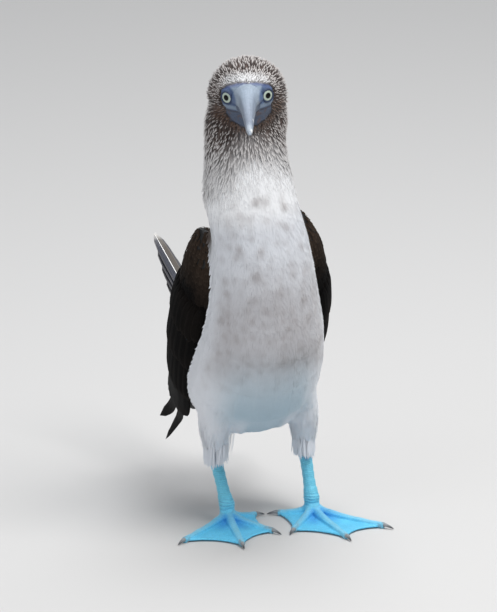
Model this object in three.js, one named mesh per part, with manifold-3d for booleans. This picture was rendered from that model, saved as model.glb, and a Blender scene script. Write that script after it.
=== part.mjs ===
// A blue-footed booby standing upright, tail cocked, head turned to look ahead of its right foot.
// Millimetres, +Z up, the bird faces -Y and its left side is +X. It stands on the plane z = 0.
import * as THREE from "three";
import { mergeVertices } from "three/addons/utils/BufferGeometryUtils.js";
import Module from "manifold-3d";

const wasm = await Module();
wasm.setup();

const { degToRad } = THREE.MathUtils;

// Pose
const gap = 0.3; // between solids that touch
const bodyLean = degToRad(5.8); // the body tips to the bird's right
const hipCentre = new THREE.Vector3(-13, 0, 100); // the lean turns about this point
const headTurn = degToRad(-13); // the bill points to the bird's right of straight ahead
const headTilt = degToRad(1); // the head tips with the body, and a little further
const headNod = degToRad(-0.4); // the bill drops by this much towards its tip

// Trunk: the neck and torso are one form, from the throat to the root of the tail.
// Each station has the middle of the body, its half width, and its depth to the front and to the back.
const trunkStations = [
  { x: 1, y: -74, z: 452, side: 25, front: 18, back: 22 },
  { x: 1, y: -75, z: 441, side: 32.5, front: 22, back: 27 },
  { x: 1, y: -76, z: 427, side: 38, front: 25, back: 30 },
  { x: 0.6, y: -77, z: 410, side: 39.6, front: 28, back: 32 },
  { x: -1.2, y: -79, z: 386, side: 39.8, front: 31, back: 35 },
  { x: 0.5, y: -82, z: 344, side: 43, front: 37, back: 43 },
  { x: 4.5, y: -78, z: 298, side: 48, front: 46, back: 58 },
  { x: 5, y: -63, z: 244, side: 54.5, front: 56, back: 75 },
  { x: 3.8, y: -39, z: 195, side: 62.8, front: 62, back: 81 },
  { x: 0.5, y: -4, z: 152, side: 65.5, front: 61, back: 74 },
  { x: 0, y: 38, z: 126, side: 57, front: 47, back: 57 },
  { x: 0, y: 78, z: 117, side: 39, front: 30, back: 38 },
  { x: 0, y: 106, z: 116, side: 23, front: 17, back: 24 },
  { x: 0, y: 122, z: 119, side: 9, front: 7, back: 11 },
];
const trunkRings = 23;
const trunkSides = 22;
const neckCut = { y: -77, z: 306, rake: -0.18 }; // the neck is parted from the torso by this plane

// Head, in its own frame: the origin lies midway between the eyes and the bill points to -Y.
const eyeLevel = new THREE.Vector3(0.4, -104, 455); // that origin, in the frame of the body
const headStations = [
  { y: 59, side: 8, top: 0, bottom: -14 },
  { y: 54, side: 20, top: 12.5, bottom: -27 },
  { y: 45, side: 30.5, top: 23, bottom: -36 },
  { y: 32, side: 37.5, top: 29.5, bottom: -41 },
  { y: 20, side: 38, top: 30.5, bottom: -40 },
  { y: 10, side: 33.5, top: 27.5, bottom: -36 },
  { y: 2, side: 26.5, top: 23.5, bottom: -30 },
  { y: -5, side: 20, top: 18.5, bottom: -24.5 },
  { y: -10, side: 15.5, top: 14.8, bottom: -20 },
  { y: -13, side: 12.5, top: 12.5, bottom: -17 },
];
const headRings = 12;
const headSides = 20;
const cheekFullness = 0.78; // under 1, the lower half of the head is fuller than an ellipse

// Eyes: each ball is under a lid with a round opening. It faces this turn away from straight ahead.
const eye = { radius: 8, x: 15.6, y: -1.4, turn: degToRad(38), lid: 1.2, opening: 5.4, rings: 8, sides: 14 };

// Bill, in the frame of the head. The upper and lower halves meet along the line of the mouth.
const billRootY = -10;
const billTipY = -114;
const upperBillStations = [
  { y: billRootY, side: 11.2, far: 12.4, mouth: -4 },
  { y: -15, side: 10.6, far: 12.6, mouth: -4 },
  { y: -32, side: 8.3, far: 9.8, mouth: -4.4 },
  { y: -59, side: 6.9, far: 5.6, mouth: -5 },
  { y: -86, side: 5.2, far: 2.4, mouth: -5.4 },
  { y: -102, side: 4.1, far: 0, mouth: -5.8 },
  { y: -110, side: 2.8, far: -2.6, mouth: -6.6 },
  { y: billTipY, side: 0.9, far: -6, mouth: -8 },
];
const lowerBillStations = [
  { y: billRootY, side: 10.6, far: -16, mouth: -4 },
  { y: -15, side: 9.9, far: -15.2, mouth: -4 },
  { y: -32, side: 7.6, far: -13.2, mouth: -4.4 },
  { y: -59, side: 6.2, far: -11.2, mouth: -5 },
  { y: -86, side: 4.4, far: -9.4, mouth: -5.4 },
  { y: -102, side: 3, far: -8, mouth: -5.8 },
  { y: -109, side: 1, far: -7.4, mouth: -6.6 },
];
const billRings = 12;
const billSides = 10;
const billSquareness = 0.55; // under 1, the bill is flatter on top and below than an ellipse
const gape = { to: 6, height: 0.6, across: 70 }; // the line of the mouth runs back under the eyes to this y

// Folded wing, for one side. The stations run along the wing from the wrist to the tip: out is the distance
// of its middle from mid, bulge and spread are its half sizes out from and along the bird's side.
const wingLength = 390;
const wingDrop = { right: 5, left: 5 }; // how far each wing hangs below its stations
const wingStations = [
  { along: 0, mid: 5, out: 49, y: -46, z: 321, bulge: 3, spread: 4 },
  { along: 8, mid: 5, out: 46.5, y: -45, z: 315, bulge: 9, spread: 13 },
  { along: 25, mid: 5.5, out: 44, y: -41, z: 302, bulge: 18, spread: 25 },
  { along: 45, mid: 6, out: 43.5, y: -36, z: 286, bulge: 25, spread: 33 },
  { along: 70, mid: 6, out: 44, y: -27, z: 263, bulge: 28.5, spread: 39 },
  { along: 100, mid: 5, out: 44.5, y: -13, z: 236, bulge: 30.5, spread: 42 },
  { along: 145, mid: 3, out: 45, y: 14, z: 193, bulge: 29.5, spread: 40 },
  { along: 190, mid: 1, out: 44, y: 46, z: 154, bulge: 24.5, spread: 36 },
  { along: 225, mid: 0, out: 42, y: 76, z: 127, bulge: 19, spread: 33 },
  { along: 262, mid: 0, out: 42, y: 109, z: 106, bulge: 15.5, spread: 32 },
  { along: 305, mid: 0, out: 43, y: 146, z: 84, bulge: 13, spread: 31 },
  { along: wingLength, mid: 0, out: 47, y: 210, z: 46, bulge: 12, spread: 30 },
];
// The fleshy core under the feathers thins away from taperFrom to its end.
const wingCore = { rings: 11, sides: 10, taperFrom: 160, end: 275, thinnest: 0.12, crowding: 1.15 };

// A feather is a thin plate with a raised shaft. The outline has the half width at shares of its length.
const vane = { thick: 0.7, ridge: 0.3, tipThick: 0.42, root: -3, rise: 0.55 };
const vaneOutline = [[0, 0.45], [0.42, 1], [0.8, 0.86]];
// Rows of wing feathers, lowest layer first. across runs from the leading edge (-) to the back (+).
// top is the lift of the tips, step the drop from one feather to the next, tilt the rise across one feather.
const wingRows = [
  {
    name: "primaries", count: 7, top: 1.2, step: 1.35, tilt: 0.02, width: 24, tip: 0.08,
    root: (t) => ({ along: 190 - 10 * t, across: 12 - 26 * t }),
    end: (t) => ({ along: 262 + 126 * t ** 0.6, across: 30 - 46 * t ** 1.3 }),
  },
  {
    name: "secondaries", count: 5, top: 3, step: 0, tilt: 0.13, width: 31, tip: 0.4,
    root: (t) => ({ along: 172 - 26 * t, across: -24 + 62 * t }),
    end: (t) => ({ along: 240 + 34 * t, across: -22 + 60 * t }),
  },
  {
    name: "tertials", count: 3, top: 5, step: 0, tilt: 0.13, width: 27, tip: 0.45,
    root: (t) => ({ along: 128 - 16 * t, across: 30 + 26 * t }),
    end: (t) => ({ along: 250 - 30 * t, across: 32 + 24 * t }),
  },
  {
    name: "greater coverts", count: 5, top: 3.4, step: 0, tilt: 0.13, width: 31, tip: 0.5,
    root: (t) => ({ along: 136 - 20 * t, across: -34 + 70 * t }),
    end: (t) => ({ along: 200 - 8 * t, across: -32 + 66 * t }),
  },
  {
    name: "median coverts", count: 4, top: 3.2, step: 0, tilt: 0.1, width: 40, tip: 0.55,
    root: (t) => ({ along: 96 - 16 * t, across: -34 + 84 * t }),
    end: (t) => ({ along: 152 - 8 * t, across: -32 + 80 * t }),
  },
];
const leadingLift = 0.5; // the feathers at the leading edge rise by this share of their row's top

// Tail, cocked up from its root. The feathers lie in pairs, the middle pair longest and on top.
const tail = {
  root: new THREE.Vector3(0, 100, 118),
  pitch: degToRad(31.5),
  swing: degToRad(7),
  length: 199,
  pairs: 6,
  width: 17,
  tip: 0.16,
  spread: degToRad(5.5), // the outermost feather from the middle
  shortest: 0.53, // of the length, for the outermost feather
  from: 22, // the roots start this far along, inside the core
  top: 3, // lift of the uppermost feather
  step: 1.1, // each feather lies this much under the one before it
  offset: 1.4, // each pair's roots stand this much further apart
  arch: 260, // radius of the tail's curve from edge to edge
  droop: 6, // of the tips
};
const tailCore = [
  { length: -26, half: 20, deep: 15 },
  { length: -8, half: 23, deep: 19 },
  { length: 12, half: 22, deep: 16 },
  { length: 34, half: 18.5, deep: 10.5 },
  { length: 56, half: 14, deep: 6 },
  { length: 70, half: 8, deep: 3 },
];
const tailCoreSides = 16;
const tailCoreDrop = 2;

// Legs and feet, in the standing frame. A toe's angle opens outwards from straight ahead.
const toes = { left: [-113, -33, 10, 47], right: [-113, -37, 4, 46] };
const toeNames = ["hallux", "inner", "middle", "outer"];
const toeLengths = [33, 55, 80, 78];
const legs = {
  right: { side: -1, heel: new THREE.Vector3(-41.6, 0, 15), ankle: new THREE.Vector3(-49.5, 19, 61.5) },
  left: { side: 1, heel: new THREE.Vector3(41.6, 0, 15), ankle: new THREE.Vector3(38.8, 19, 63.5) },
};
const hip = { out: 43, y: -14, z: 140 }; // the top of the thigh, inside the torso's side
const thighStations = [
  { share: 0, half: 15.5, deep: 34 },
  { share: 0.3, half: 16, deep: 32 },
  { share: 0.58, half: 14.4, deep: 24 },
  { share: 0.82, half: 11.8, deep: 17 },
  { share: 1.03, half: 9, deep: 11.6 },
];
const thighSides = 16;
const tarsusStations = [
  { half: 5.4, deep: 6.4 },
  { half: 4.7, deep: 6 },
  { half: 4.6, deep: 5.8 },
  { half: 6.6, deep: 7 },
];
const tarsusSides = 10;
const tarsusRise = 7; // the tarsus runs this far up inside the thigh past the ankle
const scutes = { toe: 5, tarsus: 8, rise: 0.11, edge: 0.16 }; // raised plates, each steep at its upper edge
const toe = { root: 4.7, tip: 2.7, knuckles: 3, swelling: 0.1, sides: 8, drop: 4.5, sink: 2.2, flat: 1.5, height: 3.2 };
const web = { long: 5, wide: 4, from: 0.06, to: 0.98, thick: 1.5, under: 1.6, sag: 3, hollow: 0.13, clear: 0.5 };
const heelPad = { radius: 8.4, squash: 0.9, drop: 6.5, sides: 12, rings: 6 };
const clawStations = [
  { reach: -3, half: 2.2, height: 3.4 },
  { reach: 2, half: 2, height: 3.6 },
  { reach: 5, half: 1.5, height: 3 },
  { reach: 8.8, half: 0.9, height: 1.9 },
  { reach: 11, half: 0.3, height: 1 },
];
const clawSides = 8;
const clawClear = 0.35; // above the ground
const groundSize = 400;

// Materials
const material = (color, roughness) => new THREE.MeshStandardMaterial({ color, roughness, metalness: 0 });
const white = material(0xdadde0, 0.85);
const streaked = material(0x9c9088, 0.85);
const brown = material(0x3b2f28, 0.8);
const greyTail = material(0x6f6a68, 0.75);
const blueSkin = material(0x5ab6de, 0.55);
const billBlue = material(0x93a9bd, 0.45);
const clawGrey = material(0x4a4e52, 0.5);
const eyePale = material(0xc3d6b8, 0.1);

// Solids

function merged(geometry) {
  const bare = geometry.clone();
  bare.deleteAttribute("normal");
  bare.deleteAttribute("uv");
  return mergeVertices(bare, 1e-4);
}

function solidOf(geometry) {
  const closed = merged(geometry);
  const vertProperties = new Float32Array(closed.attributes.position.array);
  const triVerts = new Uint32Array(closed.index.array);
  return new wasm.Manifold(new wasm.Mesh({ numProp: 3, vertProperties, triVerts }));
}

function geometryOf(solid) {
  const cut = solid.getMesh();
  const points = new Float32Array(cut.numVert * 3);
  for (let i = 0; i < cut.numVert; i++) {
    points.set(cut.vertProperties.subarray(i * cut.numProp, i * cut.numProp + 3), i * 3);
  }
  const geometry = new THREE.BufferGeometry();
  geometry.setAttribute("position", new THREE.BufferAttribute(points, 3));
  geometry.setIndex(new THREE.BufferAttribute(cut.triVerts, 1));
  geometry.computeVertexNormals();
  return geometry;
}

function largestOf(solid) {
  return solid.decompose().reduce((best, piece) => (piece.volume() > best.volume() ? piece : best));
}

function joined(geometries) {
  return wasm.Manifold.union(geometries.map(solidOf));
}

// A closed surface from points and triangles, turned so that its faces point out.
function closedGeometry(points, triangles) {
  let volume = 0;
  for (const [a, b, c] of triangles) {
    volume += points[a].dot(new THREE.Vector3().crossVectors(points[b], points[c]));
  }
  const faces = volume < 0 ? triangles.map(([a, b, c]) => [a, c, b]) : triangles;
  const geometry = new THREE.BufferGeometry().setFromPoints(points);
  geometry.setIndex(faces.flat());
  return geometry;
}

// A loft through rings that all have the same number of points, with flat ends.
function loft(rings) {
  const sides = rings[0].length;
  const points = rings.flat();
  const triangles = [];
  for (let r = 0; r + 1 < rings.length; r++) {
    for (let s = 0; s < sides; s++) {
      const a = r * sides + s;
      const b = r * sides + ((s + 1) % sides);
      triangles.push([a, b, b + sides], [a, b + sides, a + sides]);
    }
  }
  for (const [first, turn] of [[0, 1], [(rings.length - 1) * sides, -1]]) {
    const middle = new THREE.Vector3();
    for (let s = 0; s < sides; s++) middle.addScaledVector(points[first + s], 1 / sides);
    const hub = points.push(middle) - 1;
    for (let s = 0; s < sides; s++) {
      const edge = [first + s, first + ((s + 1) % sides)];
      triangles.push(turn > 0 ? [hub, edge[1], edge[0]] : [hub, edge[0], edge[1]]);
    }
  }
  return closedGeometry(points, triangles);
}

// The same surface moved out along its normals, for cutting a neighbour clear of it.
function grown(geometry) {
  const larger = merged(geometry);
  larger.computeVertexNormals();
  const points = larger.attributes.position;
  const normals = larger.attributes.normal;
  for (let i = 0; i < points.count; i++) {
    points.setXYZ(
      i,
      points.getX(i) + gap * normals.getX(i),
      points.getY(i) + gap * normals.getY(i),
      points.getZ(i) + gap * normals.getZ(i),
    );
  }
  return larger;
}

// A smooth curve through the stations' values, read at a place counted in stations.
function at(stations, place) {
  const last = stations.length - 1;
  const i = Math.min(Math.floor(place), last - 1);
  const t = place - i;
  const row = {};
  for (const field of Object.keys(stations[0])) {
    const p1 = stations[i][field];
    const p2 = stations[i + 1][field];
    const p0 = i > 0 ? stations[i - 1][field] : 2 * p1 - p2;
    const p3 = i + 2 <= last ? stations[i + 2][field] : 2 * p2 - p1;
    row[field] = 0.5 * (2 * p1 + (p2 - p0) * t
      + (2 * p0 - 5 * p1 + 4 * p2 - p3) * t * t
      + (3 * p1 - p0 - 3 * p2 + p3) * t * t * t);
  }
  return row;
}

function smoothRows(stations, count) {
  const rows = [];
  for (let i = 0; i < count; i++) rows.push(at(stations, (i / (count - 1)) * (stations.length - 1)));
  return rows;
}

function circle(sides, start = 0) {
  return Array.from({ length: sides }, (_, s) => ((s + start) / sides) * 2 * Math.PI);
}

// Trunk

function trunkGeometry() {
  const rows = smoothRows(trunkStations, trunkRings);
  const rings = rows.map((row, i) => {
    const before = rows[Math.max(i - 1, 0)];
    const after = rows[Math.min(i + 1, rows.length - 1)];
    const along = new THREE.Vector2(after.y - before.y, after.z - before.z).normalize();
    const toBack = new THREE.Vector2(-along.y, along.x); // square to the middle line
    return circle(trunkSides).map((angle) => {
      const ahead = Math.cos(angle);
      const reach = ahead > 0 ? -row.front * ahead : -row.back * ahead;
      return new THREE.Vector3(
        row.x + row.side * Math.sin(angle),
        row.y + reach * toBack.x,
        row.z + reach * toBack.y,
      );
    });
  });
  return loft(rings);
}

// Head and bill

const headPose = new THREE.Matrix4()
  .makeRotationFromEuler(new THREE.Euler(headNod, headTilt, headTurn, "ZYX"))
  .setPosition(eyeLevel);

function headGeometry() {
  return loft(smoothRows(headStations, headRings).map((row) => circle(headSides).map((angle) => {
    const across = Math.sin(angle);
    const height = (row.top + row.bottom) / 2 + ((row.top - row.bottom) / 2) * Math.cos(angle);
    const fullness = Math.cos(angle) < 0 ? cheekFullness : 1;
    return new THREE.Vector3(row.side * Math.sign(across) * Math.abs(across) ** fullness, row.y, height);
  })));
}

// Half of the bill: a squarish arch that stands on the line of the mouth, or hangs from it.
function billGeometry(stations) {
  return loft(smoothRows(stations, billRings).map((row) => {
    const ring = [];
    const depth = row.far - row.mouth;
    for (let s = 0; s < billSides; s++) {
      const angle = (s / (billSides - 1)) * Math.PI;
      ring.push(new THREE.Vector3(
        row.side * Math.cos(angle),
        row.y,
        row.mouth + (Math.sign(depth) * gap) / 2 + depth * Math.sin(angle) ** billSquareness,
      ));
    }
    return ring;
  }));
}

function eyeGeometry(side, extra = 0) {
  return new THREE.SphereGeometry(eye.radius + extra, eye.sides, eye.rings).translate(side * eye.x, eye.y, 0);
}

// The opening between the lids, a round shaft along the way the eye faces.
function lidOpening(side) {
  const facing = new THREE.Vector3(side * Math.sin(eye.turn), -Math.cos(eye.turn), 0);
  const shaft = new THREE.CylinderGeometry(eye.opening, eye.opening, eye.radius * 2, eye.sides);
  shaft.translate(0, eye.radius, 0);
  shaft.applyQuaternion(new THREE.Quaternion().setFromUnitVectors(new THREE.Vector3(0, 1, 0), facing));
  return shaft.translate(side * eye.x, eye.y, 0);
}

function mouthLine() {
  const run = gape.to - billTipY;
  const level = upperBillStations[0].mouth;
  return new THREE.BoxGeometry(gape.across, run, gape.height).translate(0, (gape.to + billTipY) / 2, level);
}

function headSolids() {
  const upper = billGeometry(upperBillStations);
  const lower = billGeometry(lowerBillStations);
  let head = joined([headGeometry(), eyeGeometry(-1, eye.lid), eyeGeometry(1, eye.lid)]);
  for (const side of [-1, 1]) {
    head = head.subtract(solidOf(eyeGeometry(side, gap))).subtract(solidOf(lidOpening(side)));
  }
  for (const cut of [grown(upper), grown(lower), mouthLine()]) head = head.subtract(solidOf(cut));
  return { head: geometryOf(largestOf(head)), upper, lower };
}

// Wings

function wingRow(along) {
  const next = wingStations.findIndex((station) => station.along > along);
  const i = next > 0 ? next - 1 : wingStations.length - 2;
  const run = wingStations[i + 1].along - wingStations[i].along;
  return at(wingStations, i + (along - wingStations[i].along) / run);
}

// A point round the wing: angle turns from straight out towards the back, bulge and spread are the half sizes.
function wingAround(side, along, angle, bulge, spread) {
  const row = wingRow(along);
  const before = wingRow(Math.max(along - 6, 0));
  const after = wingRow(Math.min(along + 6, wingLength));
  const run = new THREE.Vector2(after.y - before.y, after.z - before.z).normalize();
  const reach = spread * Math.sin(angle);
  return new THREE.Vector3(
    row.mid + side * (row.out + bulge * Math.cos(angle)),
    row.y - run.y * reach,
    row.z + run.x * reach - (side < 0 ? wingDrop.right : wingDrop.left),
  );
}

// A point over the side of the bird: across is measured round the wing, lift out from it.
function wingPoint(side, along, across, lift) {
  const row = wingRow(along);
  return wingAround(side, along, across / row.spread, row.bulge + lift, row.spread + lift);
}

function wingCoreGeometry(side) {
  const rings = [];
  for (let i = 0; i < wingCore.rings; i++) {
    const along = wingCore.end * (i / (wingCore.rings - 1)) ** wingCore.crowding;
    const past = Math.max(0, (along - wingCore.taperFrom) / (wingCore.end - wingCore.taperFrom));
    const taper = Math.max(Math.sqrt(1 - past * past), wingCore.thinnest);
    const row = wingRow(along);
    rings.push(circle(wingCore.sides).map((angle) => (
      wingAround(side, along, angle, row.bulge * taper, row.spread * taper)
    )));
  }
  return loft(rings);
}

// Both faces of a feather are split alike. place(share, across, lift) gives its points.
function vaneGeometry(place, width, tip) {
  const sides = 6;
  const points = [...vaneOutline, [1, tip]].flatMap(([share, full]) => {
    const half = (width / 2) * full;
    const thick = share < 1 ? vane.thick : vane.tipThick;
    const over = [place(share, -half, thick), place(share, 0, thick + vane.ridge), place(share, half, thick)];
    const under = [place(share, half, 0), place(share, 0, 0), place(share, -half, 0)];
    return [...over, ...under];
  });
  const last = points.length - sides;
  const triangles = [];
  for (let first = 0; first < last; first += sides) {
    for (let s = 0; s < sides; s++) {
      const a = first + s;
      const b = first + ((s + 1) % sides);
      const underside = s === 3 || s === 4;
      if (underside) triangles.push([a, b, a + sides], [b, b + sides, a + sides]);
      else triangles.push([a, b, b + sides], [a, b + sides, a + sides]);
    }
  }
  for (const [a, b, c] of [[0, 5, 1], [5, 4, 1], [1, 4, 2], [4, 3, 2]]) {
    triangles.push([a, b, c], [last + a, last + c, last + b]);
  }
  return closedGeometry(points, triangles);
}

function wingRowGeometries(side, row) {
  const made = [];
  for (let i = 0; i < row.count; i++) {
    const t = i / (row.count - 1);
    const root = row.root(t);
    const end = row.end(t);
    const level = row.step > 0 ? row.top - row.step * i : row.top * (leadingLift + (1 - leadingLift) * t);
    const place = (share, across, lift) => {
      const along = root.along + (end.along - root.along) * share;
      const middle = root.across + (end.across - root.across) * share;
      const rise = vane.root + (level - vane.root) * share ** vane.rise;
      return wingPoint(side, along, middle + across, rise + lift + row.tilt * across);
    };
    made.push(vaneGeometry(place, row.width, row.tip));
  }
  return made;
}

function wingSolid(side, trunkClear) {
  const feathers = wingRows.flatMap((row) => wingRowGeometries(side, row));
  return largestOf(joined([wingCoreGeometry(side), ...feathers]).subtract(trunkClear));
}

// Tail

// A point of the tail: fan turns a feather out from the middle one.
function tailPoint(length, across, lift, fan = 0) {
  const turn = tail.swing + fan;
  const forward = new THREE.Vector3(
    -Math.sin(turn) * Math.cos(tail.pitch),
    Math.cos(turn) * Math.cos(tail.pitch),
    Math.sin(tail.pitch),
  );
  const side = new THREE.Vector3(Math.cos(turn), Math.sin(turn), 0);
  const up = new THREE.Vector3().crossVectors(side, forward);
  return tail.root.clone()
    .addScaledVector(forward, length)
    .addScaledVector(side, across)
    .addScaledVector(up, lift);
}

function tailCoreGeometry() {
  return loft(tailCore.map(({ length, half, deep }) => circle(tailCoreSides).map((angle) => (
    tailPoint(length, half * Math.cos(angle), deep * Math.sin(angle) - tailCoreDrop)
  ))));
}

function tailFeatherGeometry(pair, side) {
  const outward = pair / (tail.pairs - 1);
  const length = tail.length * (1 - (1 - tail.shortest) * outward);
  const level = tail.top - tail.step * (2 * pair + (side > 0 ? 1 : 0));
  const place = (share, across, lift) => {
    const offset = across + side * (1 + tail.offset * pair);
    const droop = tail.droop * share * share + (offset * offset) / (2 * tail.arch);
    const reach = tail.from + (length - tail.from) * share;
    return tailPoint(reach, offset, level + lift - droop, -side * tail.spread * outward);
  };
  return vaneGeometry(place, tail.width, tail.tip);
}

function tailSolid(trunkClear) {
  const feathers = [];
  for (let pair = 0; pair < tail.pairs; pair++) {
    for (const side of [-1, 1]) feathers.push(tailFeatherGeometry(pair, side));
  }
  return largestOf(joined([tailCoreGeometry(), ...feathers]).subtract(trunkClear));
}

// Legs

const bodyPose = new THREE.Matrix4()
  .makeTranslation(hipCentre)
  .multiply(new THREE.Matrix4().makeRotationY(-bodyLean))
  .multiply(new THREE.Matrix4().makeTranslation(0, 0, -hipCentre.z));
const bodyPoseBack = bodyPose.clone().invert();

// A limb with an oval section at each point.
function limb(points, sizes, sides) {
  return loft(points.map((point, i) => {
    const before = points[Math.max(i - 1, 0)];
    const after = points[Math.min(i + 1, points.length - 1)];
    const along = after.clone().sub(before).normalize();
    const across = new THREE.Vector3(1, 0, 0).addScaledVector(along, -along.x).normalize();
    const deep = new THREE.Vector3().crossVectors(along, across);
    return circle(sides).map((angle) => point.clone()
      .addScaledVector(across, sizes[i].half * Math.cos(angle))
      .addScaledVector(deep, sizes[i].deep * Math.sin(angle)));
  }));
}

// Places along a run of scutes, each with the share by which the plate stands out there.
function scuteSteps(count) {
  const steps = [];
  for (let i = 0; i < count; i++) {
    steps.push({ share: i / count, rise: 0 }, { share: (i + scutes.edge) / count, rise: scutes.rise });
  }
  steps.push({ share: 1, rise: 0 });
  return steps;
}

function tarsusGeometry(leg) {
  const up = leg.ankle.clone().sub(leg.heel).normalize();
  const top = leg.ankle.clone().addScaledVector(up, tarsusRise);
  const steps = scuteSteps(scutes.tarsus);
  const points = steps.map(({ share }) => top.clone().lerp(leg.heel, share));
  const sizes = steps.map(({ share, rise }) => {
    const row = at(tarsusStations, share * (tarsusStations.length - 1));
    return { half: row.half * (1 + rise), deep: row.deep * (1 + rise) };
  });
  return limb(points, sizes, tarsusSides);
}

function thighGeometry(leg) {
  const ankle = leg.ankle.clone().applyMatrix4(bodyPoseBack);
  const top = new THREE.Vector3(leg.side * hip.out, hip.y, hip.z);
  const points = thighStations.map(({ share }) => top.clone().lerp(ankle, share));
  return limb(points, thighStations, thighSides);
}

function toeHeading(leg, angle) {
  const turn = degToRad(angle) * leg.side;
  return {
    ahead: new THREE.Vector3(Math.sin(turn), -Math.cos(turn), 0),
    across: new THREE.Vector3(Math.cos(turn), Math.sin(turn), 0),
  };
}

// A toe's middle line: down from the heel joint, then forward along the ground.
function toePoint(leg, digit, share) {
  const point = leg.heel.clone().addScaledVector(digit.ahead, digit.length * share);
  point.z = toe.height + (leg.heel.z - toe.drop - toe.height) * (1 - share) ** toe.sink;
  return point;
}

function toeGeometry(leg, digit) {
  return loft(scuteSteps(scutes.toe).map(({ share, rise }) => {
    const middle = toePoint(leg, digit, share);
    const knuckle = 1 + toe.swelling * Math.cos(share * toe.knuckles * 2 * Math.PI);
    const half = (toe.root + (toe.tip - toe.root) * share) * knuckle * (1 + rise);
    return circle(toe.sides, 0.5).map((angle) => {
      const point = middle.clone().addScaledVector(digit.across, half * Math.cos(angle));
      point.z += half * Math.sin(angle);
      if (point.z < toe.flat) point.z = 0; // the sole is flat on the ground
      return point;
    });
  }));
}

// The web between two toes sags between them and has a hollow front edge.
function webGeometry(leg, first, second) {
  const points = [];
  for (const thick of [web.thick, 0]) {
    for (let i = 0; i <= web.long; i++) {
      for (let j = 0; j <= web.wide; j++) {
        const v = j / web.wide;
        const middle = 4 * v * (1 - v);
        const forward = i / web.long;
        const share = (web.from + (web.to - web.from) * forward) * (1 - web.hollow * middle * forward);
        const point = toePoint(leg, first, share).lerp(toePoint(leg, second, share), v);
        point.z = Math.max(point.z - web.under - web.sag * middle * (1 - share), web.clear) + thick;
        points.push(point);
      }
    }
  }
  const row = web.wide + 1;
  const sheet = (web.long + 1) * row;
  const triangles = [];
  for (let i = 0; i < web.long; i++) {
    for (let j = 0; j < web.wide; j++) {
      const a = i * row + j;
      triangles.push([a, a + 1, a + row + 1], [a, a + row + 1, a + row]);
      triangles.push([sheet + a, sheet + a + row + 1, sheet + a + 1]);
      triangles.push([sheet + a, sheet + a + row, sheet + a + row + 1]);
    }
  }
  const edge = [];
  for (let j = 0; j < web.wide; j++) edge.push(j);
  for (let i = 0; i < web.long; i++) edge.push(i * row + web.wide);
  for (let j = web.wide; j > 0; j--) edge.push(web.long * row + j);
  for (let i = web.long; i > 0; i--) edge.push(i * row);
  edge.forEach((a, i) => {
    const b = edge[(i + 1) % edge.length];
    triangles.push([b, a, a + sheet], [b, a + sheet, b + sheet]);
  });
  return closedGeometry(points, triangles);
}

// A claw starts inside the toe and curves down to the ground.
function clawGeometry(leg, digit) {
  const tip = toePoint(leg, digit, 1);
  return loft(clawStations.map(({ reach, half, height }) => circle(clawSides).map((angle) => {
    const point = tip.clone()
      .addScaledVector(digit.ahead, reach)
      .addScaledVector(digit.across, half * Math.cos(angle));
    point.z = Math.max(clawClear, height + half * Math.sin(angle));
    return point;
  })));
}

// Assembly

function mesh(name, geometry, finish) {
  const made = new THREE.Mesh(geometry, finish);
  made.name = name;
  return made;
}

// The neck and torso are the two sides of the neck cut. The neck is cut clear of the head and the bill.
function trunkParts(trunkForm, lower) {
  const trunk = solidOf(trunkForm);
  const up = new THREE.Vector3(0, neckCut.rake, 1).normalize();
  const level = up.dot(new THREE.Vector3(0, neckCut.y, neckCut.z));
  const room = [headGeometry(), lower].map((form) => solidOf(grown(form).applyMatrix4(headPose)));
  const above = trunk.trimByPlane(up.toArray(), level + gap / 2);
  const below = trunk.trimByPlane(up.clone().negate().toArray(), gap / 2 - level);
  const neck = room.reduce((solid, cut) => solid.subtract(cut), above);
  return { neck: geometryOf(largestOf(neck)), torso: geometryOf(largestOf(below)) };
}

function headGroup({ head, upper, lower }) {
  const group = new THREE.Group();
  group.applyMatrix4(headPose);
  group.add(
    mesh("head", head, streaked),
    mesh("bill_upper", upper, billBlue),
    mesh("bill_lower", lower, billBlue),
    mesh("eye_right", eyeGeometry(-1), eyePale),
    mesh("eye_left", eyeGeometry(1), eyePale),
  );
  return group;
}

function bodyGroup() {
  const group = new THREE.Group();
  group.applyMatrix4(bodyPose);
  const trunkForm = trunkGeometry();
  const trunkClear = solidOf(grown(trunkForm));
  const headForms = headSolids();
  const { neck, torso } = trunkParts(trunkForm, headForms.lower);
  group.add(
    mesh("torso", torso, white),
    mesh("neck", neck, white),
    mesh("wing_right", geometryOf(wingSolid(-1, trunkClear)), brown),
    mesh("wing_left", geometryOf(wingSolid(1, trunkClear)), brown),
    mesh("tail", geometryOf(tailSolid(trunkClear)), greyTail),
    headGroup(headForms),
  );
  for (const [name, leg] of Object.entries(legs)) {
    const tarsusClear = solidOf(grown(tarsusGeometry(leg)).applyMatrix4(bodyPoseBack));
    const thigh = solidOf(thighGeometry(leg)).subtract(trunkClear).subtract(tarsusClear);
    group.add(mesh(`thigh_${name}`, geometryOf(largestOf(thigh)), white));
  }
  return group;
}

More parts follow.
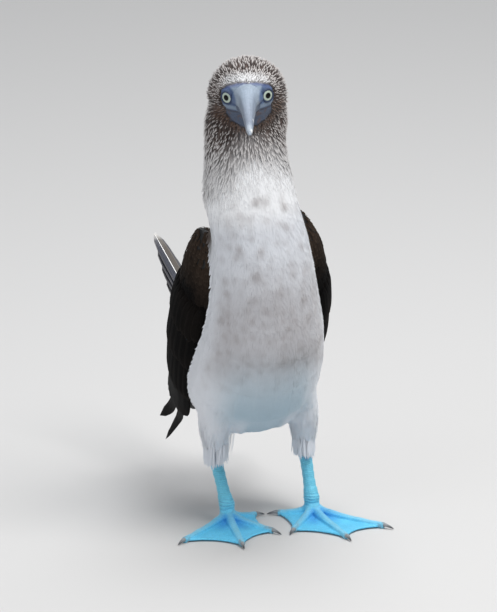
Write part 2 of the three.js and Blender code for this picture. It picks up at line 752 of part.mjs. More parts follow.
function legGroup(name, leg) {
  const group = new THREE.Group();
  const digits = toeNames.map((toeName, i) => (
    { name: toeName, length: toeLengths[i], ...toeHeading(leg, toes[name][i]) }
  ));
  const pad = new THREE.SphereGeometry(heelPad.radius, heelPad.sides, heelPad.rings)
    .scale(1, 1, heelPad.squash)
    .translate(leg.heel.x, leg.heel.y, leg.heel.z - heelPad.drop);
  const forms = [pad, ...digits.map((digit) => toeGeometry(leg, digit))];
  for (let i = 0; i + 1 < digits.length; i++) forms.push(webGeometry(leg, digits[i], digits[i + 1]));
  const ground = new THREE.BoxGeometry(groundSize, groundSize, groundSize).translate(0, 0, -groundSize / 2);
  const tarsus = tarsusGeometry(leg);
  const foot = largestOf(joined(forms).subtract(solidOf(ground)).subtract(solidOf(grown(tarsus))));
  const footClear = solidOf(grown(geometryOf(foot)));
  group.add(mesh(`tarsus_${name}`, tarsus, blueSkin), mesh(`foot_${name}`, geometryOf(foot), blueSkin));
  for (const digit of digits) {
    const claw = solidOf(clawGeometry(leg, digit)).subtract(footClear);
    group.add(mesh(`claw_${name}_${digit.name}`, geometryOf(largestOf(claw)), clawGrey));
  }
  return group;
}

const standing = new THREE.Group();
standing.add(bodyGroup(), legGroup("right", legs.right), legGroup("left", legs.left));

// The origin is on the ground under the middle of the whole bird.
const extent = new THREE.Box3().setFromObject(standing, true);
const middle = extent.getCenter(new THREE.Vector3());
standing.position.set(-middle.x, -middle.y, -extent.min.z);

const bird = new THREE.Group();
bird.add(standing);
export default bird;
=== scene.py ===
# A blue-footed booby standing, tail cocked, head turned towards its right foot.
# Sizes in the dictionaries are millimetres, in the bird's own frames: it faces -Y, its left is +X.
# A side of -1 is its right, 1 its left. Pairs of numbers for ease() run from none to full.
import math
import bmesh
import bpy
import numpy as np
from mathutils import Matrix, Vector
from mathutils.bvhtree import BVHTree


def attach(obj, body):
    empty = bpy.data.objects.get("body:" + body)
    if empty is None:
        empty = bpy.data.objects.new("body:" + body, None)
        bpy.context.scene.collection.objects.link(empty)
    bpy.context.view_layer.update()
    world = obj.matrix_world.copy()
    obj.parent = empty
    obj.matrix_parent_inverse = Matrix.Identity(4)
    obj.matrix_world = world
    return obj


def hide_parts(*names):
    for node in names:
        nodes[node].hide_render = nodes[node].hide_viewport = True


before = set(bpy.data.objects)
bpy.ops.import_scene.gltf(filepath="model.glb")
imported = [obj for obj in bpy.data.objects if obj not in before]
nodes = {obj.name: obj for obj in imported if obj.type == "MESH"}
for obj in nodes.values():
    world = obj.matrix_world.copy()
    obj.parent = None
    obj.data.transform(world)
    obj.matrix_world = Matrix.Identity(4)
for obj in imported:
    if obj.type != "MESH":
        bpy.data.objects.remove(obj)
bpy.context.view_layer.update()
mm = 0.001
print("frame loaded")

# Where the bird stands
pose = {
    "standAt": (-0.53, -27.76, 0.0),  # the point midway between the heels, on the floor
    "hip": (-13.0, 0.0, 100.0),  # the body leans about this point
    "lean": 5.8,
    "eyes": (0.4, -104.0, 455.0),  # midway between the eyes, in the frame of the body
    "headTurn": -13.0,
    "headTilt": 1.0,
    "headNod": -0.4,
}
standMatrix = Matrix.Translation(pose["standAt"])
bodyMatrix = (
    standMatrix @ Matrix.Translation(pose["hip"])
    @ Matrix.Rotation(-math.radians(pose["lean"]), 4, "Y") @ Matrix.Translation((0, 0, -pose["hip"][2]))
)
headTurn, headTilt, headNod = (
    Matrix.Rotation(math.radians(pose[name]), 4, axis)
    for name, axis in (("headTurn", "Z"), ("headTilt", "Y"), ("headNod", "X"))
)
headMatrix = bodyMatrix @ Matrix.Translation(pose["eyes"]) @ headTurn @ headTilt @ headNod


def moved(points, matrix):
    m = np.array(matrix)
    return points @ m[:3, :3].T + m[:3, 3]


def movedBack(points, matrix):
    return moved(points, matrix.inverted())


def inBody(p):  # points of the world in the frame of the body
    return movedBack(p, bodyMatrix)


def inHead(p):  # in the frame of the head, between the eyes
    return movedBack(p, headMatrix)


def onFloor(p):  # from the point midway between the heels
    return movedBack(p, standMatrix)


def turned(vectors, matrix):
    return vectors @ np.array(matrix)[:3, :3].T


# Small tools
def unit(vectors):
    return vectors / np.maximum(np.linalg.norm(vectors, axis=-1, keepdims=True), 1e-9)


def ease(low, high, value):
    t = np.clip((value - low) / (high - low), 0, 1)
    return t * t * (3 - 2 * t)


def blend(a, b, share):
    share = np.asarray(share)[..., None]
    return np.asarray(a) * (1 - share) + np.asarray(b) * share


def tone(code):  # a screen colour as linear light
    rgb = np.array([int(code[i:i + 2], 16) for i in (1, 3, 5)]) / 255
    return np.where(rgb <= 0.04045, rgb / 12.92, ((rgb + 0.055) / 1.055) ** 2.4)


def softNoise(points, size, seed):  # smooth noise, -1 to 1
    table = np.random.default_rng(seed).uniform(-1, 1, (32, 32, 32))
    q = points / size + 0.37
    cell = np.floor(q).astype(int)
    f = q - cell
    f = f * f * (3 - 2 * f)
    total = np.zeros(len(points))
    for dx in (0, 1):
        for dy in (0, 1):
            for dz in (0, 1):
                share = np.ones(len(points))
                for axis, d in enumerate((dx, dy, dz)):
                    share = share * (f[:, axis] if d else 1 - f[:, axis])
                i = (cell + (dx, dy, dz)) % 32
                total += share * table[i[:, 0], i[:, 1], i[:, 2]]
    return total


def spots(points, size, seed):  # soft round spots, one to a cell, 0 to 1
    table = np.random.default_rng(seed).uniform(0.15, 0.85, (16, 16, 16, 4))
    q = points / size
    cell = np.floor(q).astype(int)
    best = np.zeros(len(points))
    for step in np.ndindex(3, 3, 3):
        corner = cell + step - 1
        i = corner % 16
        own = table[i[:, 0], i[:, 1], i[:, 2]]
        gap = np.linalg.norm(q - corner - own[:, :3], axis=1)
        best = np.maximum(best, ease(0.6, 0.0, gap) * own[:, 3])
    return best


def smoothRows(stations, places):  # a smooth curve through rows of numbers
    rows = np.asarray(stations, float)
    last = len(rows) - 1
    i = np.clip(np.floor(places).astype(int), 0, last - 1)
    t = (places - i)[:, None]
    padded = np.vstack([2 * rows[0] - rows[1], rows, 2 * rows[-1] - rows[-2]])
    p0, p1, p2, p3 = (padded[i + k] for k in range(4))
    bend = 2 * p0 - 5 * p1 + 4 * p2 - p3
    twist = 3 * p1 - p0 - 3 * p2 + p3
    return 0.5 * (2 * p1 + (p2 - p0) * t + bend * t**2 + twist * t**3)


def makeObject(name, points, faces):  # points in millimetres
    mesh = bpy.data.meshes.new(name)
    points = np.asarray(points, np.float32) * mm
    faces = [
        np.asarray(group, np.int32)
        for group in (faces if isinstance(faces, list) else [faces]) if len(group)
    ]
    sizes = np.concatenate([np.full(len(group), group.shape[1], np.int32) for group in faces])
    corners = np.concatenate([group.ravel() for group in faces])
    mesh.vertices.add(len(points))
    mesh.vertices.foreach_set("co", points.ravel())
    mesh.loops.add(len(corners))
    mesh.loops.foreach_set("vertex_index", corners)
    mesh.polygons.add(len(sizes))
    mesh.polygons.foreach_set("loop_start", np.concatenate([[0], np.cumsum(sizes)[:-1]]).astype(np.int32))
    mesh.update(calc_edges=True)
    mesh.shade_smooth()
    piece = bpy.data.objects.new(name, mesh)
    bpy.context.scene.collection.objects.link(piece)
    return piece


def setTint(mesh, colours):
    values = np.column_stack([colours, np.ones(len(colours))]).astype(np.float32)
    mesh.color_attributes.new("tint", "FLOAT_COLOR", "POINT").data.foreach_set("color", values.ravel())


def setValue(mesh, name, values):
    mesh.attributes.new(name, "FLOAT", "POINT").data.foreach_set("value", np.asarray(values, np.float32))


def setUv(mesh, name, perPoint):
    corners = np.empty(len(mesh.loops), np.int32)
    mesh.loops.foreach_get("vertex_index", corners)
    mesh.uv_layers.new(name=name).data.foreach_set("uv", np.asarray(perPoint, np.float32)[corners].ravel())


def pointsOf(mesh):
    points = np.empty(len(mesh.vertices) * 3, np.float32)
    mesh.vertices.foreach_get("co", points)
    return points.reshape(-1, 3).astype(float) / mm


def trianglesOf(mesh):
    mesh.calc_loop_triangles()
    corners = np.empty(len(mesh.loop_triangles) * 3, np.int32)
    mesh.loop_triangles.foreach_get("vertices", corners)
    return corners.reshape(-1, 3)


def pointNormals(points, triangles):
    a, b, c = (points[triangles[:, k]] for k in range(3))
    face = np.cross(b - a, c - a)
    normals = np.zeros_like(points)
    for k in range(3):
        np.add.at(normals, triangles[:, k], face)
    return unit(normals)


def relax(points, mesh, rounds, share=0.5):  # evens a surface out
    edges = np.empty(len(mesh.edges) * 2, np.int32)
    mesh.edges.foreach_get("vertices", edges)
    edges = edges.reshape(-1, 2)
    count = np.bincount(edges.ravel(), minlength=len(points))[:, None]
    for _ in range(rounds):
        for amount in (share, -share * 1.02):
            total = np.zeros_like(points)
            np.add.at(total, edges[:, 0], points[edges[:, 1]])
            np.add.at(total, edges[:, 1], points[edges[:, 0]])
            points = points + amount * (total / np.maximum(count, 1) - points)
    return points


def loftRings(rings, closed=True):  # rings: count x sides x 3; returns points and faces
    count, sides = rings.shape[:2]
    points = rings.reshape(-1, 3)
    r, s = np.meshgrid(np.arange(count - 1), np.arange(sides), indexing="ij")
    a = (r * sides + s).ravel()
    b = (r * sides + (s + 1) % sides).ravel()
    quads = np.column_stack([a, b, b + sides, a + sides])
    if not closed:
        return points, [quads]
    hubs = np.array([rings[0].mean(0), rings[-1].mean(0)])
    ring = np.arange(sides)
    start = np.column_stack([np.full(sides, len(points)), (ring + 1) % sides, ring])
    last = (count - 1) * sides
    end = np.column_stack([np.full(sides, len(points) + 1), ring + last, (ring + 1) % sides + last])
    return np.vstack([points, hubs]), [quads, np.vstack([start, end])]


# Forms shared by the skin and the feathers
trunkStations = [  # x, y, z of the middle, half width, depth to the front and to the back
    (1, -74, 452, 25, 18, 22), (1, -75, 441, 32.5, 22, 27), (1, -76, 427, 38, 25, 30),
    (0.6, -77, 410, 39.6, 28, 32),
    (-1.2, -79, 386, 39.8, 31, 35), (0.5, -82, 344, 43, 37, 43), (4.5, -78, 298, 48, 46, 58),
    (5, -63, 244, 54.5, 56, 75),
    (3.8, -39, 195, 62.8, 62, 81), (0.5, -4, 152, 65.5, 61, 74), (0, 38, 126, 57, 47, 57),
    (0, 78, 117, 39, 30, 38),
    (0, 106, 116, 23, 17, 24), (0, 122, 119, 9, 7, 11),
]
trunkLine = smoothRows(trunkStations, np.linspace(0, len(trunkStations) - 1, 79))
trunkRun = unit(np.gradient(trunkLine[:, :3], axis=0))

wing = {  # drop lowers a whole wing, tuck lays the tips of its primaries in
    "length": 390.0, "drop": {-1: 5.0, 1: 5.0},
    "taperFrom": 160.0, "coreEnd": 275.0, "tuck": 9.0,
    # along, middle, out, y, z, bulge, spread
    "stations": [
        (0, 5, 49, -46, 321, 3, 4), (8, 5, 46.5, -45, 315, 9, 13), (25, 5.5, 44, -41, 302, 18, 25),
        (45, 6, 43.5, -36, 286, 25, 33),
        (70, 6, 44, -27, 263, 28.5, 39), (100, 5, 44.5, -13, 236, 30.5, 42),
        (145, 3, 45, 14, 193, 29.5, 40),
        (190, 1, 44, 46, 154, 24.5, 36), (225, 0, 42, 76, 127, 19, 33), (262, 0, 42, 109, 106, 15.5, 32),
        (305, 0, 43, 146, 84, 13, 31), (390, 0, 47, 210, 46, 12, 30),
    ],
}
tail = {
    "root": (0.0, 100.0, 118.0), "pitch": 31.5, "swing": 7.8, "length": 197.0, "pairs": 6, "width": 13.0,
    "spread": 4.2, "shortest": 0.53, "from": 14.0, "top": 3.0, "step": 0.9, "beside": 0.6, "arch": 260.0,
    "droop": 6.0,
    # the fleshy root: along, half width, half depth
    "core": [(-26, 20, 15), (-8, 23, 19), (12, 22, 16), (34, 18.5, 10.5), (56, 14, 6), (70, 8, 3)],
    "inner": tone("#5d5650"), "outer": tone("#3d3f4a"), "under": tone("#3a3430"), "shaft": tone("#efeeec"),
    "tip": tone("#f4f2ee"),
}


def wingRow(along):
    stations = np.array(wing["stations"], float)
    along = np.clip(along, 0, wing["length"])
    places = np.interp(along, stations[:, 0], np.arange(len(stations)))
    return smoothRows(stations[:, 1:], places)


def wingAround(side, along, angle, bulge, spread):  # a point round the wing, in the frame of the body
    row = wingRow(along)
    run = wingRow(along + 6)[:, 2:4] - wingRow(along - 6)[:, 2:4]
    run = unit(run)
    reach = spread * np.sin(angle)
    return np.column_stack([
        row[:, 0] + side * (row[:, 1] + bulge * np.cos(angle)),
        row[:, 2] - run[:, 1] * reach,
        row[:, 3] + run[:, 0] * reach - wing["drop"][side],
    ])


def wingPoint(side, along, across, lift):
    row = wingRow(along)
    return wingAround(side, along, across / row[:, 5], row[:, 4] + lift, row[:, 5] + lift)


def tailPoint(length, across, lift, fan):
    turn = np.radians(tail["swing"] + fan)
    pitch = math.radians(tail["pitch"])
    level, rise = math.cos(pitch), np.full(len(turn), math.sin(pitch))
    ahead = np.column_stack([-np.sin(turn) * level, np.cos(turn) * level, rise])
    side = np.column_stack([np.cos(turn), np.sin(turn), np.zeros(len(turn))])
    up = np.cross(side, ahead)
    return np.array(tail["root"]) + ahead * length[:, None] + side * across[:, None] + up * lift[:, None]


def trunkPlace(points):  # in the frame of the body: place along the trunk, its run, angle from the front
    place = np.empty(len(points))
    for start in range(0, len(points), 20000):
        block = points[start:start + 20000]
        gap = ((block[:, None, :] - trunkLine[None, :, :3]) ** 2).sum(2)
        place[start:start + 20000] = gap.argmin(1)
    i = place.astype(int)
    run = trunkRun[i]
    off = points - trunkLine[i, :3]
    front = np.column_stack([np.zeros(len(i)), -run[:, 2], run[:, 1]])
    front = front * np.where(run[:, 2:3] < 0, -1, 1)
    angle = np.arctan2(off[:, 0], (off * front).sum(1))
    return place / (len(trunkLine) - 1), run, angle


# Markings: where the face is bare and what colour the plumage has
face = {
    "browMiddle": 13.4, "browFall": 0.0118, "browTilt": 0.05, "behindEye": 3.4, "halfWidth": 25.6,
    "underEye": -11.6, "gape": -13.2, "gular": (21.2, 18.8), "gularBack": 8.0,
}
tones = {
    # The pale blue-green tone in the next row is painted shade for the low belly, tinted by a painted
    # reflection of the blue feet.
    "white": tone("#e3e6ec"), "mottle": tone("#8f8583"), "blueShade": tone("#8fb0c0"), "rust": tone("#6a4e3c"),
    "tip": tone("#d3cdca"), "brown": tone("#584842"), "darkBrown": tone("#3a2f2b"),
    "mantle": tone("#463b35"), "mantleEdge": tone("#c9beb2"),
    "mask": tone("#4c6082"), "maskPale": tone("#93a2b3"), "maskEdge": tone("#465080"),
    "gular": tone("#4f5b70"),
    # The brightest white here is the neck's own white with painted light added where the head shades the
    # neck.
    "band": tone("#8e9fb1"), "neckLitWhite": tone("#fafbfd"), "eyeRing": tone("#27334f"),
    # The wing tones run from a near-black, partly painted shade, to a brown, partly painted light on the
    # upper wing.
    "wingDark": tone("#0c0b0b"), "wingBrown": tone("#3d322a"), "wingEdge": tone("#62564c"),
}


def browLine(x):
    return face["browMiddle"] - face["browFall"] * x**2 - face["browTilt"] * np.maximum(x, 0)


def gularReach(h):  # 1 on the rim of the bare throat, less inside
    wide, deep = face["gular"]
    return np.sqrt((h[:, 0] / wide) ** 2 + ((h[:, 2] - face["gape"]) / deep) ** 2)


def bareness(h):  # 1 on the bare face and throat, 0 under feathers, in the frame of the head
    ragged = 0.8 * softNoise(h, 3.4, 15) + 0.5 * softNoise(h, 1.6, 16)
    x, y, z = np.abs(h[:, 0]), h[:, 1], h[:, 2]
    brow = ease(1.0, -1.0, z - browLine(h[:, 0]) + 0.5 * ragged)
    edge = face["halfWidth"] - 0.02 * (z + 1) ** 2
    sides = (
        ease(1.0, -1.0, x - edge + ragged)
        * ease(1.5, -1.5, y - face["behindEye"] + 0.12 * np.maximum(z, 0) + ragged)
    )
    mask = (
        brow * sides
        * ease(-1.0, 1.0, z - face["underEye"] - 2.6 * (x / face["halfWidth"]) ** 6 - 0.6 * ragged)
    )
    gular = (
        ease(1.07, 0.93, gularReach(h) + 0.1 * ragged) * ease(2.5, 0.5, z - face["gape"])
        * ease(2, -2, y - face["gularBack"])
    )
    seam = ease(21, 18, x + ragged) * ease(-16, -14.5, z) * ease(-10, -11.5, z) * ease(8, 6, y)
    return np.clip(np.maximum(mask + gular, seam), 0, 1)


def flareAt(z):  # half the width of the pale plate that runs from the bill up to the brow
    return 9.7 + 5.6 * np.clip((z + 4) / 14.5, 0, 1.2) ** 2.0


def bareTone(h):
    x, z = np.abs(h[:, 0]), h[:, 2]
    colour = blend(
        tones["maskPale"], tones["mask"], ease(-1.0, 2.6, x - flareAt(z) + 0.8 * softNoise(h, 4, 17)),
    )
    band = ease(-12.5, -10.5, z) * ease(-6.5, -8.5, z) * ease(8, 11, x) * ease(25, 22, x)
    colour = blend(colour, tones["band"], 0.75 * band)
    colour = blend(colour, tones["maskEdge"], ease(-2.6, -0.6, z - browLine(h[:, 0])) * 0.75)
    colour = blend(colour, tones["gular"], ease(-11.6, -13.4, z))
    colour = blend(
        colour, tones["rust"],
        0.5 * ease(-12, -15, z) * ease(0.15, 0.6, softNoise(h * (1.6, 1, 0.5), 2.6, 18)),
    )
    # a painted shadow line along the crease of the gape, under the pale band
    line = np.exp(-((z - face["gape"] + 0.2) / 0.8) ** 2) * ease(8, 12, x)
    return blend(colour, tones["darkBrown"], 0.65 * line)


coat = {  # heights up the body in millimetres, from none to full, and angles from its front
    "neckEnd": 398, "neckFall": 30, "neckBlend": 34, "neckRagged": 10,
    # The first range on the next line fades in that brighter neck white, which is partly painted light.
    "neckLitWhite": (318, 350), "chestFoot": (135, 185), "chestTop": (375, 350), "chestSide": (1.55, 0.95),
    "cloud": 38, "largeSpots": 15.0, "smallSpots": 11.0, "spotCast": 9,
    "washTop": (310, 225), "washFoot": (140, 190), "scallop": 7.0,
    # The next row places and weighs the painted shade of the low belly, with its painted blue reflection of
    # the feet.
    "blueShadeTop": (215, 125), "blueShadeBack": (60, 20), "blueShadeSide": (58, 26), "blueShade": 0.72,
    "mantleTop": 326, "mantleDip": 40, "mantleSide": (1.7, 2.05), "mantleEnd": (0.86, 0.8),
}


def whiteness(b):  # 0 streaked brown, 1 white, along the neck
    front = np.cos(trunkPlace(b)[2])
    start = coat["neckEnd"] - coat["neckFall"] * (1 - front)
    height = b[:, 2] + coat["neckRagged"] * softNoise(b, 17, 5)
    return ease(start + coat["neckBlend"], start - coat["neckBlend"], height)


def plumageTone(p):  # the markings of the coat, for points in the world
    b = inBody(p)
    place, _, angle = trunkPlace(b)
    aside, z = np.abs(b[:, 0]), b[:, 2]
    # whiter up the neck: the plumage's own white, brightened there as painted light against the shade under
    # the head
    colour = blend(tones["white"], tones["neckLitWhite"], ease(*coat["neckLitWhite"], z))
    cloud = ease(-0.6, 0.6, softNoise(b, coat["cloud"], 13))
    chest = (
        ease(*coat["chestFoot"], z) * ease(*coat["chestTop"], z) * ease(*coat["chestSide"], np.abs(angle))
    )
    large, small = spots(b, coat["largeSpots"], 11), spots(b + 4, coat["smallSpots"], 12)
    marks = np.clip(1.1 * large + 0.9 * small + 0.3 * softNoise(b, coat["spotCast"], 19), 0, 1)
    colour = blend(colour, tones["mottle"], marks * chest * (0.36 + 0.28 * cloud))
    wash = ease(*coat["washTop"], z) * ease(*coat["washFoot"], z)
    scallop = spots(b * (1, 1, 0.8), coat["scallop"], 20)
    colour = blend(colour, tones["mottle"], wash * chest * (0.36 + 0.2 * cloud + 0.28 * scallop))
    # painted shade on the low belly, tinted blue as a painted reflection of the feet
    low = ease(*coat["blueShadeTop"], z) * ease(*coat["blueShadeBack"], b[:, 1]) * ease(*coat["blueShadeSide"], aside)
    colour = blend(colour, tones["blueShade"], coat["blueShade"] * low * (1 - legShare(b)))
    # the brown of the back begins lower in the middle
    nape = coat["mantleTop"] - coat["mantleDip"] * ease(20, 5, aside)
    below = ease(nape + 9, nape - 11, z + 8 * softNoise(b, 12, 14)) * ease(*coat["mantleEnd"], place)
    return blend(colour, tones["mantle"], ease(*coat["mantleSide"], np.abs(angle)) * below)


# Camera, light and floor
# The frame is the photograph's, and the point between the heels falls at "heels" in it, in pixels.
view = {
    "azimuth": -14.0, "elevation": 16.0, "distance": 16.0, "mmPerPixel": 0.9566, "frame": (497, 612),
    "heels": (270.0, 520.0), "sensor": 36.0, "clipEnd": 60,
}


def setCamera():
    a, e = math.radians(view["azimuth"]), math.radians(view["elevation"])
    back = Vector((math.sin(a) * math.cos(e), -math.cos(a) * math.cos(e), math.sin(e)))
    right = Vector((math.cos(a), math.sin(a), 0))
    up = back.cross(right)
    width, height = view["frame"]
    target = Vector(pose["standAt"]) * mm
    target += right * (width / 2 - view["heels"][0]) * view["mmPerPixel"] * mm
    target += up * (view["heels"][1] - height / 2) * view["mmPerPixel"] * mm
    data = bpy.data.cameras.new("camera")
    data.sensor_width = view["sensor"]
    data.lens = view["sensor"] * view["distance"] / (height * view["mmPerPixel"] * mm)
    data.clip_end = view["clipEnd"]
    camera = bpy.data.objects.new("camera", data)
    camera.matrix_world = (
        Matrix.Translation(target + back * view["distance"])
        @ Matrix((right, up, back)).transposed().to_4x4()
    )
    bpy.context.scene.collection.objects.link(camera)
    bpy.context.scene.camera = camera


studio = {  # metres; a lamp has its place, size, power and colour
    "sky": (0.93, 0.96, 1.0, 1), "skyStrength": 0.44, "aim": (0, 0, 0.25),
    "lamps": {
        "key": ((0.75, -1.3, 2.5), 1.4, 42, (1.0, 0.985, 0.965)),
        "top": ((0.3, 0.5, 2.4), 1.8, 34, (0.96, 0.98, 1.0)),
        "fill": ((-1.9, -1.2, 1.0), 1.6, 8, (0.94, 0.97, 1.0)),
    },
    "floorSpan": 24000.0, "floorColour": (0.62, 0.61, 0.60, 1), "floorRoughness": 0.9,
}


def areaLight(name, place, size, power, colour):
    data = bpy.data.lights.new(name, "AREA")
    data.shape = "DISK"
    data.size = size
    data.energy = power
    data.color = colour
    lamp = bpy.data.objects.new(name, data)
    lamp.location = place
    lamp.rotation_euler = (Vector(studio["aim"]) - Vector(place)).to_track_quat("-Z", "Y").to_euler()
    bpy.context.scene.collection.objects.link(lamp)


def setLight():
    world = bpy.data.worlds.new("studio")
    bpy.context.scene.world = world
    world.use_nodes = True
    sky = world.node_tree.nodes["Background"]
    sky.inputs["Color"].default_value = studio["sky"]
    sky.inputs["Strength"].default_value = studio["skyStrength"]
    for name, values in studio["lamps"].items():
        areaLight(name, *values)
    bpy.context.scene.view_settings.view_transform = "Standard"


def makeFloor():
    span = studio["floorSpan"]
    corners = [(-span, -span, 0), (span, -span, 0), (span, span, 0), (-span, span, 0)]
    floor = makeObject("floor", corners, np.array([[0, 1, 2, 3]]))
    finish = bpy.data.materials.new("floorPale")
    finish.use_nodes = True
    shader = finish.node_tree.nodes["Principled BSDF"]
    shader.inputs["Base Color"].default_value = studio["floorColour"]
    shader.inputs["Roughness"].default_value = studio["floorRoughness"]
    floor.data.materials.append(finish)


setCamera()
setLight()
makeFloor()
print("camera, light and floor set")


# Materials
def put(tree, kind, values=None, **settings):
    node = tree.nodes.new(kind)
    for name, value in settings.items():
        setattr(node, name, value)
    for name, value in (values or {}).items():
        socket = node.inputs[name]
        if isinstance(value, bpy.types.NodeSocket):
            tree.links.new(value, socket)
        else:
            socket.default_value = value
    return node


def newGroup(name, inputs, outputs):
    group = bpy.data.node_groups.new(name, "ShaderNodeTree")
    for label, value in inputs.items():
        kind = "NodeSocketColor" if isinstance(value, tuple) else "NodeSocketFloat"
        group.interface.new_socket(name=label, in_out="INPUT", socket_type=kind).default_value = value
    for label, kind in outputs.items():
        group.interface.new_socket(name=label, in_out="OUTPUT", socket_type=kind)
    return group, put(group, "NodeGroupInput"), put(group, "NodeGroupOutput")


def mixColour(tree, factor, a, b):
    return put(tree, "ShaderNodeMix", {0: factor, 6: a, 7: b}, data_type="RGBA").outputs[2]


def sums(tree, operation, a, b=0.0):
    return put(tree, "ShaderNodeMath", {0: a, 1: b}, operation=operation).outputs[0]


def times(tree, a, b):
    return sums(tree, "MULTIPLY", a, b)


def window(tree, value, low, high):
    limits = {"Value": value, "From Min": low, "From Max": high}
    return put(tree, "ShaderNodeMapRange", limits, interpolation_type="SMOOTHSTEP").outputs[0]


def noise(tree, place, size, detail, roughness=0.5):
    values = {"Vector": place, "Scale": size, "Detail": detail, "Roughness": roughness}
    return put(tree, "ShaderNodeTexNoise", values)


def toned(tree, colour, value, saturation):
    values = {"Color": colour, "Value": value, "Saturation": saturation}
    return put(tree, "ShaderNodeHueSaturation", values).outputs[0]


def objectPlace(tree):
    return put(tree, "ShaderNodeTexCoord").outputs["Object"]


def ownMap(tree):  # along and across each feather or plate
    return put(tree, "ShaderNodeSeparateXYZ", {0: put(tree, "ShaderNodeUVMap", uv_map="vane").outputs[0]})


def ownValue(tree, name):
    return put(tree, "ShaderNodeAttribute", attribute_name=name)


colourAndHeight = {"Color": "NodeSocketColor", "Height": "NodeSocketFloat"}


def giveOut(group, out, colour, height):
    group.links.new(colour, out.inputs["Color"])
    group.links.new(height, out.inputs["Height"])
    return group


def makeSoftTone():  # slow drifts of tone over the surface
    group, given, out = newGroup(
        "softTone", {"Tint": (1, 1, 1, 1), "Size": 60.0, "Amount": 0.2}, colourAndHeight,
    )
    place = objectPlace(group)
    tint, size = given.outputs["Tint"], given.outputs["Size"]
    broad = noise(group, place, size, 3.0).outputs[0]
    fine = noise(group, place, times(group, size, 6.0), 2.0).outputs[0]
    both = sums(group, "ADD", times(group, broad, 0.6), times(group, fine, 0.4))
    dark = times(group, window(group, both, 0.62, 0.36), given.outputs["Amount"])
    return giveOut(group, out, mixColour(group, dark, tint, toned(group, tint, 0.55, 1.1)), both)


def makeBarbs():  # the barbs, shaft and edge of a feather, from its own map
    inputs = {
        "Tint": (1, 1, 1, 1), "Barbs": 0.3, "Lines": 90.0, "Shaft": 0.0, "Edge": 0.0,
        "EdgeTint": (1, 1, 1, 1),
    }
    group, given, out = newGroup("featherBarbs", inputs, colourAndHeight)
    tint = given.outputs["Tint"]
    axes = ownMap(group)
    across = times(group, sums(group, "ABSOLUTE", sums(group, "SUBTRACT", axes.outputs["X"], 0.5)), 2.0)
    pick = times(group, ownValue(group, "pick").outputs["Fac"], 40.0)
    slant = sums(group, "SUBTRACT", axes.outputs["Y"], times(group, across, 0.16))
    lines = {"X": times(group, slant, given.outputs["Lines"]), "Y": times(group, across, 1.5), "Z": pick}
    barbs = noise(group, put(group, "ShaderNodeCombineXYZ", lines).outputs[0], 1.0, 2.0, 0.6).outputs[0]
    dark = times(group, window(group, barbs, 0.6, 0.38), given.outputs["Barbs"])
    colour = mixColour(group, dark, tint, mixColour(group, 0.55, tint, (0, 0, 0, 1)))
    frayed = sums(group, "ADD", across, times(group, sums(group, "SUBTRACT", barbs, 0.5), 0.35))
    tipward = sums(group, "MAXIMUM", frayed, window(group, axes.outputs["Y"], 0.86, 1.0))
    edge = times(group, window(group, tipward, 0.7, 0.98), given.outputs["Edge"])
    colour = mixColour(group, edge, colour, given.outputs["EdgeTint"])
    shaft = window(group, across, 0.085, 0.035)
    colour = mixColour(
        group, times(group, shaft, given.outputs["Shaft"]), colour, toned(group, tint, 1.9, 0.8),
    )
    return giveOut(group, out, colour, sums(group, "ADD", barbs, times(group, shaft, 1.2)))


def makeCells():  # small rounded scales with fine creases
    group, given, out = newGroup(
        "skinCells", {"Tint": (1, 1, 1, 1), "Size": 600.0, "Crease": 0.4}, colourAndHeight,
    )
    tint = given.outputs["Tint"]
    place = objectPlace(group)
    warp = noise(group, place, 90.0, 1.0).outputs["Color"]
    bent = put(group, "ShaderNodeMix", {0: 0.004, 4: place, 5: warp}, data_type="VECTOR").outputs[1]
    cells = {"Vector": bent, "Scale": given.outputs["Size"]}
    cell = put(group, "ShaderNodeTexVoronoi", cells, feature="DISTANCE_TO_EDGE").outputs[0]
    crease = times(group, window(group, cell, 0.16, 0.0), given.outputs["Crease"])
    colour = mixColour(group, crease, tint, toned(group, tint, 0.6, 1.15))
    return giveOut(group, out, colour, window(group, cell, 0.0, 0.3))


def makeGrain():  # long fine streaks down a horny plate, from its own map
    group, given, out = newGroup("hornGrain", {"Tint": (1, 1, 1, 1), "Streaks": 0.3}, colourAndHeight)
    tint = given.outputs["Tint"]
    axes = ownMap(group)
    lines = {"X": times(group, axes.outputs["X"], 26.0), "Y": times(group, axes.outputs["Y"], 3.0)}
    streak = noise(group, put(group, "ShaderNodeCombineXYZ", lines).outputs[0], 1.0, 4.0, 0.65).outputs[0]
    worn = noise(group, objectPlace(group), 240.0, 3.0).outputs[0]
    both = sums(group, "ADD", times(group, streak, 0.65), times(group, worn, 0.35))
    dark = times(group, window(group, both, 0.6, 0.4), given.outputs["Streaks"])
    return giveOut(group, out, mixColour(group, dark, tint, toned(group, tint, 0.6, 1.1)), both)


softTone, featherBarbs, skinCells, hornGrain = makeSoftTone(), makeBarbs(), makeCells(), makeGrain()


def newMaterial(name, roughness, **constants):
    finish = bpy.data.materials.new(name)
    finish.use_nodes = True
    tree = finish.node_tree
    shader = tree.nodes["Principled BSDF"]
    shader.inputs["Roughness"].default_value = roughness
    for label, value in constants.items():
        shader.inputs[label.replace("_", " ")].default_value = value
    return finish, tree, shader, ownValue(tree, "tint").outputs["Color"]


def placeGroup(tree, group, values):
    return put(tree, "ShaderNodeGroup", values, node_tree=group)


def finishWith(tree, shader, colour, height, strength, distance):
    tree.links.new(colour, shader.inputs["Base Color"])
    bump = put(tree, "ShaderNodeBump", {"Height": height, "Strength": strength, "Distance": distance})
    tree.links.new(bump.outputs[0], shader.inputs["Normal"])


